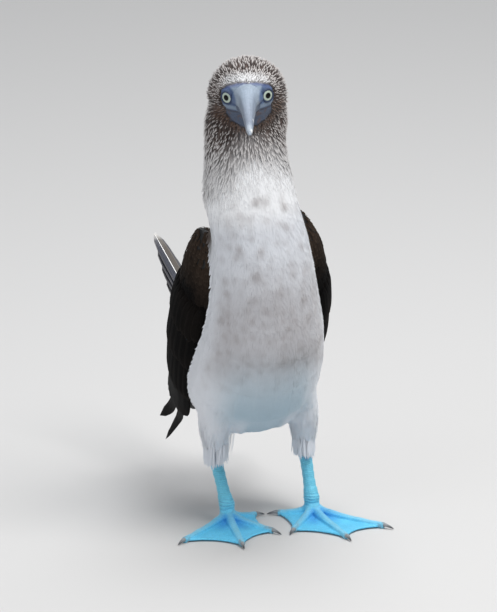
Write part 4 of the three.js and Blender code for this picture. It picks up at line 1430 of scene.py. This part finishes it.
# The body: soft white plumage, laid close
mantle = {  # where it lies on the back, and where the soft feathers leave off for it
    "side": (1.75, 2.05), "top": 326, "front": (-46, -34), "softSide": (1.9, 2.2), "softTop": 318,
    "spacing": 6.0, "shape": "round", "length": 19.0, "width": 11.0, "lift": 2.2, "height": 0.7,
    "ridge": 0.3, "camber": 0.4,
    "stray": 0.1, "roll": 0.25, "lengthAt": lambda p: 1 - 0.35 * ease(285, 320, inBody(p)[:, 2]),
    "widthAt": lambda p: 1 - 0.35 * ease(285, 320, inBody(p)[:, 2]),
}


def onWing(p, rim=1.02):
    return wingShare(inBody(p))[0] < rim


def wingRim(p):  # 1 where the body's feathers lap over the front of the wing
    return ease(1.3, 1.02, wingShare(inBody(p))[0])


def bodyWant(p):
    b = inBody(p)
    angle = trunkPlace(b)[2]
    back = (
        ease(*mantle["softSide"], np.abs(angle)) * (b[:, 2] < mantle["softTop"])
        * ease(*mantle["front"], b[:, 1])
    )
    return (~onWing(p)) * ease(0.6, 0.93, whiteness(b)) * (1 - back) * (aboveHem(p) > 9)


def paintSoft(shade=1.0, tipShade=1.0):
    def paint(middle, roots, share):
        colour = plumageTone(blend(roots, middle, 0.7))
        return colour * (shade + (tipShade - shade) * share[:, None])
    return paint


softUnder = {
    "spacing": 5.6, "shape": "round", "length": 15.0, "width": 9.5, "lift": 0.5, "height": 0.3, "roll": 0.2,
    "camber": 0.3, "stray": 0.12, "wingRim": 1.2,
}
softHair = {
    "spacing": 1.45, "shape": "hair", "length": 13.0, "width": 2.1, "lift": 0.65, "height": 0.9,
    "stray": 0.1, "roll": 0.04,
    "lengthAt": lambda p: 1 - 0.2 * legShare(inBody(p)) - 0.3 * wingRim(p),
    "widthAt": lambda p: 1 - 0.25 * legShare(inBody(p)),
    "liftAt": lambda p: 1 + 2.2 * legShare(inBody(p)) + 1.2 * wingRim(p),
}


def lieBody(roots, normals):
    return lieOver(roots, normals, 0.15)


def underWant(p):
    return bodyWant(p) * (~onWing(p, softUnder["wingRim"]))


def growBody():
    finish, slot = materials["soft"], "white_feathers"
    growTract("bodyUnder", bodyShell, softUnder, underWant, lieBody, paintSoft(0.97, 1.0), finish, 51, slot)
    roots, normals = rootsOn(bodyShell, softHair["spacing"], 53, bodyWant)
    order = np.argsort(roots[:, 2])
    half = len(order) // 2
    for name, chosen in (("bodyLower", order[:half]), ("bodyUpper", order[half:])):
        own, ownNormals = roots[chosen], normals[chosen]
        lie = lieBody(own, ownNormals)
        hair = growFeathers(
            name, bodyShell, own, ownNormals, lie, softHair, paintSoft(0.98, 1.0), finish, 54,
        )


cuffs = {
    "spacing": 1.2, "shape": "hair", "length": 1.0, "width": 1.7, "lift": 0.8, "height": 0.7, "stray": 0.07,
    "roll": 0.04, "curl": 0.05,
    "loose": True, "from": 8.0, "to": 26.0, "lean": 0.17,
    "lengthAt": lambda p: aboveHem(p),
}


def growCuffs():  # the fluff that hangs over the top of the shank
    def want(p):
        over = aboveHem(p)
        return (
            (legShare(inBody(p)) > 0.6) * (over > cuffs["from"]) * ease(cuffs["to"], cuffs["to"] - 8, over)
        )
    roots = rootsOn(bodyShell, cuffs["spacing"], 55, want)[0]
    q = onFloor(roots)
    outward = unit(np.column_stack([q[:, :2] - shankTops(q), np.zeros(len(q))]))
    down = unit(np.array((0.0, 0.0, -1.0)) - cuffs["lean"] * outward)
    piece = growFeathers(
        "thighCuffs", bodyShell, roots, outward, down, cuffs, paintSoft(1.0, 1.05), materials["soft"], 56,
    )


growBody()
growCuffs()
print("body feathered")


# The eyes: a ball with a pale iris, and the lids round it
eyeTones = {
    "inner": tone("#9dad9f"), "outer": tone("#c6d3c6"), "rim": tone("#667264"), "pupil": tone("#020203"),
    "ball": tone("#14171f"), "lid": tone("#33415f"),
}


def makeEye(name, side):
    ball = bmesh.new()
    bmesh.ops.create_uvsphere(ball, u_segments=64, v_segments=48, radius=eye["radius"])
    points = np.array([v.co for v in ball.verts])
    faces = [
        np.array([[v.index for v in f.verts] for f in ball.faces if len(f.verts) == n]) for n in (3, 4)
    ]
    ball.free()
    axis, across, up = eyeAxes(side)
    ring = np.linalg.norm(points[:, :2], axis=1)
    flat = math.sqrt(eye["radius"] ** 2 - eye["iris"] ** 2) + eye["dome"] * (1 - (ring / eye["iris"]) ** 2)
    points[:, 2] = np.where((points[:, 2] > 0) & (ring < eye["iris"]), flat, points[:, 2])
    h = points[:, :1] * across + points[:, 1:2] * up + points[:, 2:3] * axis
    h = h + eyeCentre(side)
    angle = np.arctan2(points[:, 1], points[:, 0])
    rays = 0.12 * np.sin(angle * 23 + 3 * np.sin(angle * 5))
    iris = blend(eyeTones["inner"], eyeTones["outer"], ease(2.6, 3.9, ring + rays))
    iris = blend(iris, eyeTones["rim"], ease(eye["iris"] - 0.45, eye["iris"] - 0.05, ring))
    colour = blend(eyeTones["pupil"], iris, ease(eye["pupil"] - 0.12, eye["pupil"] + 0.12, ring))
    colour = blend(colour, eyeTones["ball"], ease(eye["iris"] - 0.1, eye["iris"] + 0.15, ring))
    colour = np.where((points[:, 2] > 0)[:, None], colour, eyeTones["ball"])
    piece = makeObject(name, moved(h, headMatrix), faces)
    setTint(piece.data, colour)
    piece.data.materials.append(materials["eye"])
    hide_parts(name)
    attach(piece, "root")


lids = {"ring": 5.85, "thick": 0.58, "depth": 6.3, "creases": 11, "around": 72, "section": 12}


def makeLids():
    parts = []
    for side in (-1, 1):
        axis, across, up = eyeAxes(side)
        rings = []
        for angle in np.linspace(0, 2 * math.pi, lids["around"], endpoint=False):
            outward = across * math.cos(angle) + up * math.sin(angle)
            thick = (
                lids["thick"]
                * (1 + 0.14 * math.sin(lids["creases"] * angle) + 0.25 * max(math.sin(angle), 0))
            )
            middle = axis * lids["depth"] + outward * lids["ring"]
            section = [
                middle + thick * (outward * 1.25 * math.cos(a) + axis * math.sin(a))
                for a in np.linspace(0, 2 * math.pi, lids["section"], endpoint=False)
            ]
            rings.append(section)
        rings.append(rings[0])
        points, faces = loftRings(np.array(rings), closed=False)
        parts.append((moved(points + eyeCentre(side), headMatrix), faces[0]))
    points, faces = joinParts(parts)
    piece = makeObject("eyelids", points, faces)
    setTint(piece.data, np.tile(eyeTones["lid"], (len(points), 1)))
    piece.data.materials.append(materials["skin"])
    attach(piece, "root")


makeEye("eye_right", -1)
makeEye("eye_left", 1)
makeLids()
print("eyes made")


# The bill: two horny halves that meet along the mouth
bill = {
    "rings": 96, "sides": 30, "square": 0.55, "gap": 0.25, "groove": 0.42, "lowerGroove": 0.25,
    "teeth": 0.12, "toothRun": 2.2, "round": 0.4, "nicks": ((4.3, -85.0, -1.8), (2.4, -110.0, -4.6)),
    # y, half width, top or bottom, line of the mouth
    "upper": [
        (2, 17.5, 11.0, -4), (-9, 15.4, 12.7, -4), (-14, 13.9, 12.6, -4), (-19, 12.0, 12.0, -4),
        (-25, 9.9, 11.0, -4.2),
        (-32, 8.3, 9.6, -4.4),
        (-59, 5.9, 5.6, -5), (-86, 4.4, 2.4, -5.4), (-102, 3.4, 0, -5.8), (-110, 2.4, -2.6, -6.6),
        (-114, 0.9, -6, -8),
    ],
    "lower": [
        (2, 13.5, -15.5, -4), (-9, 12.6, -16, -4), (-14, 11.2, -15.8, -4), (-19, 9.4, -15.2, -4),
        (-25, 8.2, -14.2, -4.2),
        (-32, 7.3, -13.2, -4.4), (-59, 5.4, -11.2, -5),
        (-86, 4.0, -9.4, -5.4), (-102, 2.8, -8, -5.8), (-109, 1, -7.4, -6.6),
    ],
}


billTones = {
    "base": tone("#97a4b3"), "far": tone("#8a93a2"), "side": tone("#778397"), "tip": tone("#c3cdd6"),
    "edge": tone("#e9ecee"), "nick": tone("#f2f3f2"), "lowerBase": tone("#5f6c80"),
    "lowerFar": tone("#7f8b9c"),
}


def paintBill(points, rows, sign):
    y, z, x = points[:, 1], points[:, 2], np.abs(points[:, 0])
    if sign > 0:
        colour = blend(billTones["base"], billTones["far"], ease(-25, -95, y))
        width = np.maximum(np.interp(-y, -rows[:, 0], rows[:, 1]), 0.5)
        colour = blend(colour, billTones["side"], ease(0.55, 0.95, x / width) * 0.5 * ease(-22, -42, y))
        colour = blend(colour, billTones["tip"], ease(-96, -110, y) * 0.5)
        outside = x - flareAt(z)
        colour = blend(colour, tones["mask"] * 1.15, ease(-30, -17, y) * ease(-1.0, 2.2, outside))
        colour = blend(colour, tones["maskEdge"] * 1.2, 0.8 * ease(-13.5, -7, y) * ease(7, 10, z))
        edgeNear = ease(1.6, 0.5, z - np.interp(-y, -rows[:, 0], rows[:, 3]))
        chips = ease(0.45, 0.75, softNoise(points, 3.2, 61)) * edgeNear * ease(-40, -60, y)
        colour = blend(colour, billTones["edge"], chips)
        for spot in bill["nicks"]:
            colour = blend(colour, billTones["nick"], ease(2.8, 1.2, np.linalg.norm(points - spot, axis=1)))
    else:
        colour = blend(billTones["lowerBase"], billTones["lowerFar"], ease(-15, -80, y))
        colour = blend(colour, tones["gular"], ease(-24, -14, y))
    return colour * (1 + 0.06 * softNoise(points * (1, 0.2, 1), 1.6, 62))[:, None]


def makeBill(name, stations, sign):
    rows = smoothRows(stations, np.linspace(0, len(stations) - 1, bill["rings"]))
    count = bill["sides"]
    angles = np.linspace(0, math.pi, count)
    under = np.linspace(-1, 1, count // 3 + 2)[1:-1]
    rings, along = [], (rows[0, 0] - rows[:, 0]) / (rows[0, 0] - rows[-1, 0])
    for row in rows:
        y, half, far, mouth = row
        edge = mouth + sign * bill["gap"] / 2
        if y < -45:
            edge += sign * bill["teeth"] * math.sin(y * 2 * math.pi / bill["toothRun"])
        if sign > 0:
            groove = bill["groove"] * ease(-14, -30, y) * ease(-108, -96, y)
            power = bill["square"] + bill["round"] * ease(-30, -12, y)
        else:
            groove = bill["lowerGroove"] * ease(-14, -30, y) * ease(-106, -92, y)
            power = bill["square"]
        dip = groove * np.exp(-((np.minimum(angles, math.pi - angles) - 0.42) / 0.11) ** 2)
        height = (far - mouth) * np.sin(angles) ** power
        across = (half - dip) * np.cos(angles)
        ring = [(across[k], y, edge + height[k] * (1 - dip[k] / 14)) for k in range(count)]
        ring += [(half * share, y, edge + sign * 0.5 * (1 - share * share)) for share in under]
        rings.append(ring)
    rings = np.array(rings)
    points, faces = loftRings(rings)
    if sign > 0:
        faces = [group[:, ::-1] for group in faces]
    sides = rings.shape[1]
    around = np.concatenate([np.tile(np.linspace(0, 1, sides), len(rows)), [0.5, 0.5]])
    down = np.concatenate([np.repeat(along, sides), [0, 1]])
    colour = paintBill(points, rows, sign)
    piece = makeObject(name, moved(points, headMatrix), faces)
    setTint(piece.data, np.clip(colour, 0, 1))
    setUv(piece.data, "vane", np.column_stack([around, down]))
    piece.data.materials.append(materials["bill"])
    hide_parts(name)
    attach(piece, "root")


makeBill("bill_upper", bill["upper"], 1)
makeBill("bill_lower", bill["lower"], -1)
print("bill made")


# Claws, rounded from their solids
claws = {
    "voxel": 0.3, "rounds": 6, "names": ("hallux", "inner", "middle", "outer"),
    "root": tone("#989b9e"), "tip": tone("#4a4c50"),
}


def makeClaws():
    for side in ("right", "left"):
        for digit in claws["names"]:
            name = f"claw_{side}_{digit}"
            points, faces = remeshed(name + "Form", [nodeParts(name)], claws["voxel"], claws["rounds"])
            piece = makeObject(name + "_horn", points, faces)
            heel = toes["heels"][-1 if side == "right" else 1]
            reach = np.linalg.norm(onFloor(points)[:, :2] - heel, axis=1)
            share = (reach - reach.min()) / np.ptp(reach)
            setTint(piece.data, blend(claws["root"], claws["tip"], ease(0.2, 0.9, share)))
            around = np.arctan2(points[:, 2] - points[:, 2].mean(), 1.0) / 3
            setUv(piece.data, "vane", np.column_stack([around, share]))
            piece.data.materials.append(materials["claw"])
            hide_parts(name)
            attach(piece, "root")


makeClaws()
print("claws made")


# Flight feathers and coverts: closed vanes with a raised shaft
def vaneForm(place, width, tip, steps=12, thick=0.55, thin=0.25, ridge=0.35, lead=0.5):
    shares = np.linspace(0, 1, steps) ** 0.9
    columns = np.array([-1.0, -0.55, -0.07, 0.0, 0.07, 0.55, 1.0])
    outline = (
        ease(-0.25, 0.35, shares)
        * np.sqrt(np.clip(1 - np.clip((shares - tip) / (1 - tip), 0, 1) ** 2.2, 0, 1))
    )
    outline = np.maximum(outline, 0.03)
    s, c = np.meshgrid(shares, columns, indexing="ij")
    half = (width / 2) * outline[:, None] * np.where(c < 0, 2 * lead, 2 * (1 - lead))
    across = (c * half).ravel()
    body = (thick + (thin - thick) * np.abs(c) ** 1.5).ravel() * (1 - 0.4 * s.ravel())
    shaft = np.where(np.abs(c) < 0.05, ridge, 0.0).ravel() * (1 - 0.7 * s.ravel())
    over = place(s.ravel(), across, body + shaft)
    under = place(s.ravel(), across, np.zeros(across.size))
    rows, cols = len(shares), len(columns)
    r, k = np.meshgrid(np.arange(rows - 1), np.arange(cols - 1), indexing="ij")
    a = (r * cols + k).ravel()
    top = np.column_stack([a, a + 1, a + cols + 1, a + cols])
    bottom = top[:, ::-1] + rows * cols
    root, tipEdge = np.arange(cols - 1), (rows - 1) * cols + np.arange(cols - 1, 0, -1)
    right, left = np.arange(rows - 1) * cols + cols - 1, np.arange(rows - 1, 0, -1) * cols
    edge = np.concatenate([root, right, tipEdge, left])
    following = np.roll(edge, -1)
    rim = np.column_stack([following, edge, edge + rows * cols, following + rows * cols])
    vane = np.column_stack([(c.ravel() + 1) / 2, s.ravel()])
    return np.vstack([over, under]), np.vstack([top, bottom, rim]), np.vstack([vane, vane])


def joinVanes(name, made, paint, material, flip=False):  # made: a list of (points, faces, vane map)
    start, points, faces, vanes, tints, pick, bake = 0, [], [], [], [], [], []
    grid = math.ceil(math.sqrt(len(made)))
    rng = np.random.default_rng(len(name))
    for index, (own, ownFaces, vane) in enumerate(made):
        points.append(own)
        faces.append((ownFaces[:, ::-1] if flip else ownFaces) + start)
        vanes.append(vane)
        tints.append(paint(own, vane, index))
        pick.append(np.full(len(own), rng.random()))
        cell = np.array([index % grid, index // grid])
        half = len(own) // 2
        face = np.repeat([0.0, 0.5], half)[:, None] * (1, 0)
        bake.append((cell + 0.04 + 0.92 * (vane * (0.48, 1) + face)) / grid)
        start += len(own)
    piece = makeObject(name, np.vstack(points), np.vstack(faces))
    mesh = piece.data
    setTint(mesh, np.clip(np.vstack(tints), 0, 1))
    setValue(mesh, "pick", np.concatenate(pick))
    setUv(mesh, "vane", np.vstack(vanes))
    setUv(mesh, "OFBake", np.vstack(bake))
    mesh.materials.append(material)
    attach(piece, "root")
    print(name, len(made), "vanes", sum(len(f) for f in faces) * 2, "triangles")
    return piece


# Rows of the wing, lowest layer first, as in the solids but with more feathers.
# root and end give the place along and across the wing for t from 0 to 1; splay moves single tips:
# longer, outward, lower.
wingRows = {
    "primaries": {
        "count": 10, "top": 1.2, "step": 0.8, "tilt": 0.02, "width": 20, "tip": 0.5, "lead": 0.36,
        "kind": "flight",
        "root": lambda t: (190 - 10 * t, 12 - 26 * t),
        "end": lambda t: (262 + 116 * t**0.75, 30 - 43 * t**1.3),
        "splay": {5: (2, 2, 0), 6: (5, 10, 0), 7: (0, -4, -6), 8: (14, -1, -10), 9: (12, 3, -9)},
    },
    "secondaries": {
        "count": 11, "top": 3.0, "step": 0, "tilt": 0.14, "width": 21, "tip": 0.78, "lead": 0.42,
        "kind": "flight",
        "root": lambda t: (172 - 26 * t, -26 + 64 * t), "end": lambda t: (240 + 34 * t, -24 + 62 * t),
    },
    "tertials": {
        "count": 5, "top": 5.0, "step": 0, "tilt": 0.13, "width": 24, "tip": 0.7, "lead": 0.45,
        "kind": "wing",
        "root": lambda t: (128 - 16 * t, 26 + 32 * t), "end": lambda t: (252 - 34 * t, 28 + 30 * t),
    },
    "greater": {
        "count": 11, "top": 3.6, "step": 0, "tilt": 0.14, "width": 19, "tip": 0.72, "lead": 0.46,
        "kind": "wing",
        "root": lambda t: (136 - 20 * t, -36 + 74 * t), "end": lambda t: (200 - 8 * t, -34 + 70 * t),
    },
    "median": {
        "count": 11, "top": 3.6, "step": 0, "tilt": 0.14, "width": 18, "tip": 0.66, "lead": 0.48,
        "kind": "wing",
        "root": lambda t: (104 - 14 * t, -38 + 90 * t), "end": lambda t: (154 - 8 * t, -36 + 86 * t),
    },
    "lesser": {
        "count": 13, "top": 3.2, "step": 0, "tilt": 0.14, "width": 15, "tip": 0.6, "lead": 0.5,
        "kind": "wing",
        "root": lambda t: (78 - 8 * t, -40 + 98 * t), "end": lambda t: (118 - 6 * t, -38 + 94 * t),
    },
}


def paintWing(edge):
    def paint(own, vane, index):
        b = inBody(own)
        # browner towards the top of the wing, near-black lower down: partly the plumage's own brown, partly
        # painted light above and painted shade below
        brown = ease(250, 330, b[:, 2]) * 0.7 + 0.12 * softNoise(b, 18, 71)
        colour = blend(tones["wingDark"], tones["wingBrown"], np.clip(brown, 0, 1))
        return blend(colour, tones["wingEdge"], edge * ease(0.78, 1.0, vane[:, 1]) * 0.04)
    return paint


def makeWing(name, side):
    rng = np.random.default_rng(80 + side)
    made = {"flight": [], "wing": []}
    for row in wingRows.values():
        for i in range(row["count"]):
            t = i / (row["count"] - 1)
            rootAlong, rootAcross = row["root"](t)
            endAlong, endAcross = row["end"](t)
            level = row["top"] - row["step"] * i if row["step"] else row["top"] * (0.5 + 0.5 * t)
            level += rng.uniform(-0.12, 0.12)
            longer, outward, lower = row.get("splay", {}).get(i, (0, 0, 0))
            endAlong += rng.uniform(-2.5, 2.5) * (row["kind"] == "wing") + longer
            endAcross += lower
            width = row["width"] * rng.uniform(0.94, 1.06)

            def place(share, across, lift):
                along = rootAlong + (endAlong - rootAlong) * share
                middle = rootAcross + (endAcross - rootAcross) * share
                rise = (
                    -3 + (level + 3) * share**0.55 - wing["tuck"] * ease(250, 335, along)
                    + outward * share**3
                )
                return moved(
                    wingPoint(side, along, middle + across, rise + lift + row["tilt"] * across), bodyMatrix,
                )
            made[row["kind"]].append(vaneForm(place, width, row["tip"], lead=row["lead"]))
    flight = joinVanes(name + "_flight", made["flight"], paintWing(0.3), materials["flight"], flip=side < 0)
    cover = joinVanes(name + "_coverts", made["wing"], paintWing(1.0), materials["wing"], flip=side < 0)
    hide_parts(name)


makeWing("wing_right", -1)
makeWing("wing_left", 1)


# Small coverts over the front of the wing and the shoulder
def wingWant(p):
    b = inBody(p)
    share, along = wingShare(b)
    return (share < 1.02) * (np.abs(along) < 190) * ease(90, 128, 250 - np.abs(along))


def wingLie(p, normals):
    b = inBody(p)
    along = wingShare(b)[1]
    run = unit(wingRow(np.abs(along) + 6)[:, 2:4] - wingRow(np.abs(along) - 6)[:, 2:4])
    down = np.column_stack([np.zeros(len(b)), run])
    shoulder = np.column_stack([np.sign(along) * 40, np.full(len(b), -50.0), np.full(len(b), 322.0)])
    down = blend(down, unit(b - shoulder), 0.6 * ease(26, 4, np.abs(along)))
    lie = turned(down, bodyMatrix)
    return unit(lie - normals * (lie * normals).sum(1)[:, None])


smallCoverts = {
    "spacing": 3.6, "shape": "round", "length": 10.0, "width": 6.2, "lift": 0.8, "height": 0.5,
    "ridge": 0.15, "camber": 0.25,
    "stray": 0.1, "roll": 0.25,
    "lengthAt": lambda p: 0.6 + 0.4 * ease(8, 50, np.abs(wingShare(inBody(p))[1])),
    "widthAt": lambda p: 0.6 + 0.4 * ease(8, 50, np.abs(wingShare(inBody(p))[1])),
}


def paintCoverts(middle, roots, share):
    b = inBody(roots)
    along = np.abs(wingShare(b)[1])
    # browner towards the shoulder: partly the coverts' own brown, partly painted light along the rim of the
    # shoulder
    brown = 0.85 * ease(80, 10, along) + 0.25 * softNoise(b, 14, 73) + 0.05
    colour = blend(tones["wingDark"], tones["wingBrown"], np.clip(brown, 0, 1))
    return blend(colour, tones["wingEdge"], 0.35 * ease(0.8, 1.0, share) * ease(70, 5, along))


def growCoverts():
    finish = materials["wing"]
    growTract(
        "wingCoverts", bodyShell, smallCoverts, wingWant, wingLie, paintCoverts, finish, 81,
        "brown_feathers",
    )


growCoverts()
print("wings feathered")


# The tail, middle pair on top
def makeTail():
    made, tips = [], []
    for pair in range(tail["pairs"]):
        for side in (-1, 1):
            outward = pair / (tail["pairs"] - 1)
            length = tail["length"] * (1 - (1 - tail["shortest"]) * outward)
            level = tail["top"] - tail["step"] * (2 * pair + (1 if side > 0 else 0))

            def place(share, across, lift):
                offset = across + side * (1 + tail["beside"] * pair)
                droop = tail["droop"] * share * share + offset * offset / (2 * tail["arch"])
                reach = tail["from"] + (length - tail["from"]) * share
                fan = np.full(len(share), -side * tail["spread"] * outward)
                return moved(tailPoint(reach, offset, level + lift - droop, fan), bodyMatrix)
            made.append(vaneForm(place, tail["width"], 0.72, steps=16, thick=0.6, ridge=0.5))
            tips.append((outward, side))

    def paint(own, vane, index):
        outward, side = tips[index]
        outer = (vane[:, 0] - 0.5) * 2 * side
        colour = blend(tail["inner"], tail["outer"], ease(-0.1, 0.1, outer))
        colour = blend(colour, tail["under"], outward * 0.8)
        colour = blend(colour, tail["shaft"], ease(0.06, 0.0, np.abs(outer)) * (1 - outward))
        return blend(colour, tail["tip"], ease(0.93, 0.985, vane[:, 1]) * (1 - 0.7 * outward))
    piece = joinVanes("tailFeathers", made, paint, materials["tail"])
    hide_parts("tail")


makeTail()
print("tail made")


# The back: brown feathers with pale tips, and the white ones of rump and upper back
def backWant(p):
    b = inBody(p)
    angle = trunkPlace(b)[2]
    over = (b[:, 2] < mantle["top"]) * ease(*mantle["front"], b[:, 1])
    return (~onWing(p, softUnder["wingRim"])) * ease(*mantle["side"], np.abs(angle)) * over


def paintBack(middle, roots, share):
    b = inBody(roots)
    aside = np.abs(b[:, 0])
    base = blend(plumageTone(roots), tones["mantle"], ease(20, 27, aside) * ease(150, 170, b[:, 2]))
    dark = np.clip(1 - (base @ (0.4, 0.4, 0.4) - 0.06) * 1.6, 0, 1)
    return blend(base, tones["mantleEdge"], 0.8 * dark * ease(0.84, 1.0, share) * ease(34, 24, aside))


def growBack():
    finish = materials["mantle"]
    growTract("backMantle", bodyShell, mantle, backWant, lieOver, paintBack, finish, 91, "brown_feathers")


growBack()
print("back feathered")
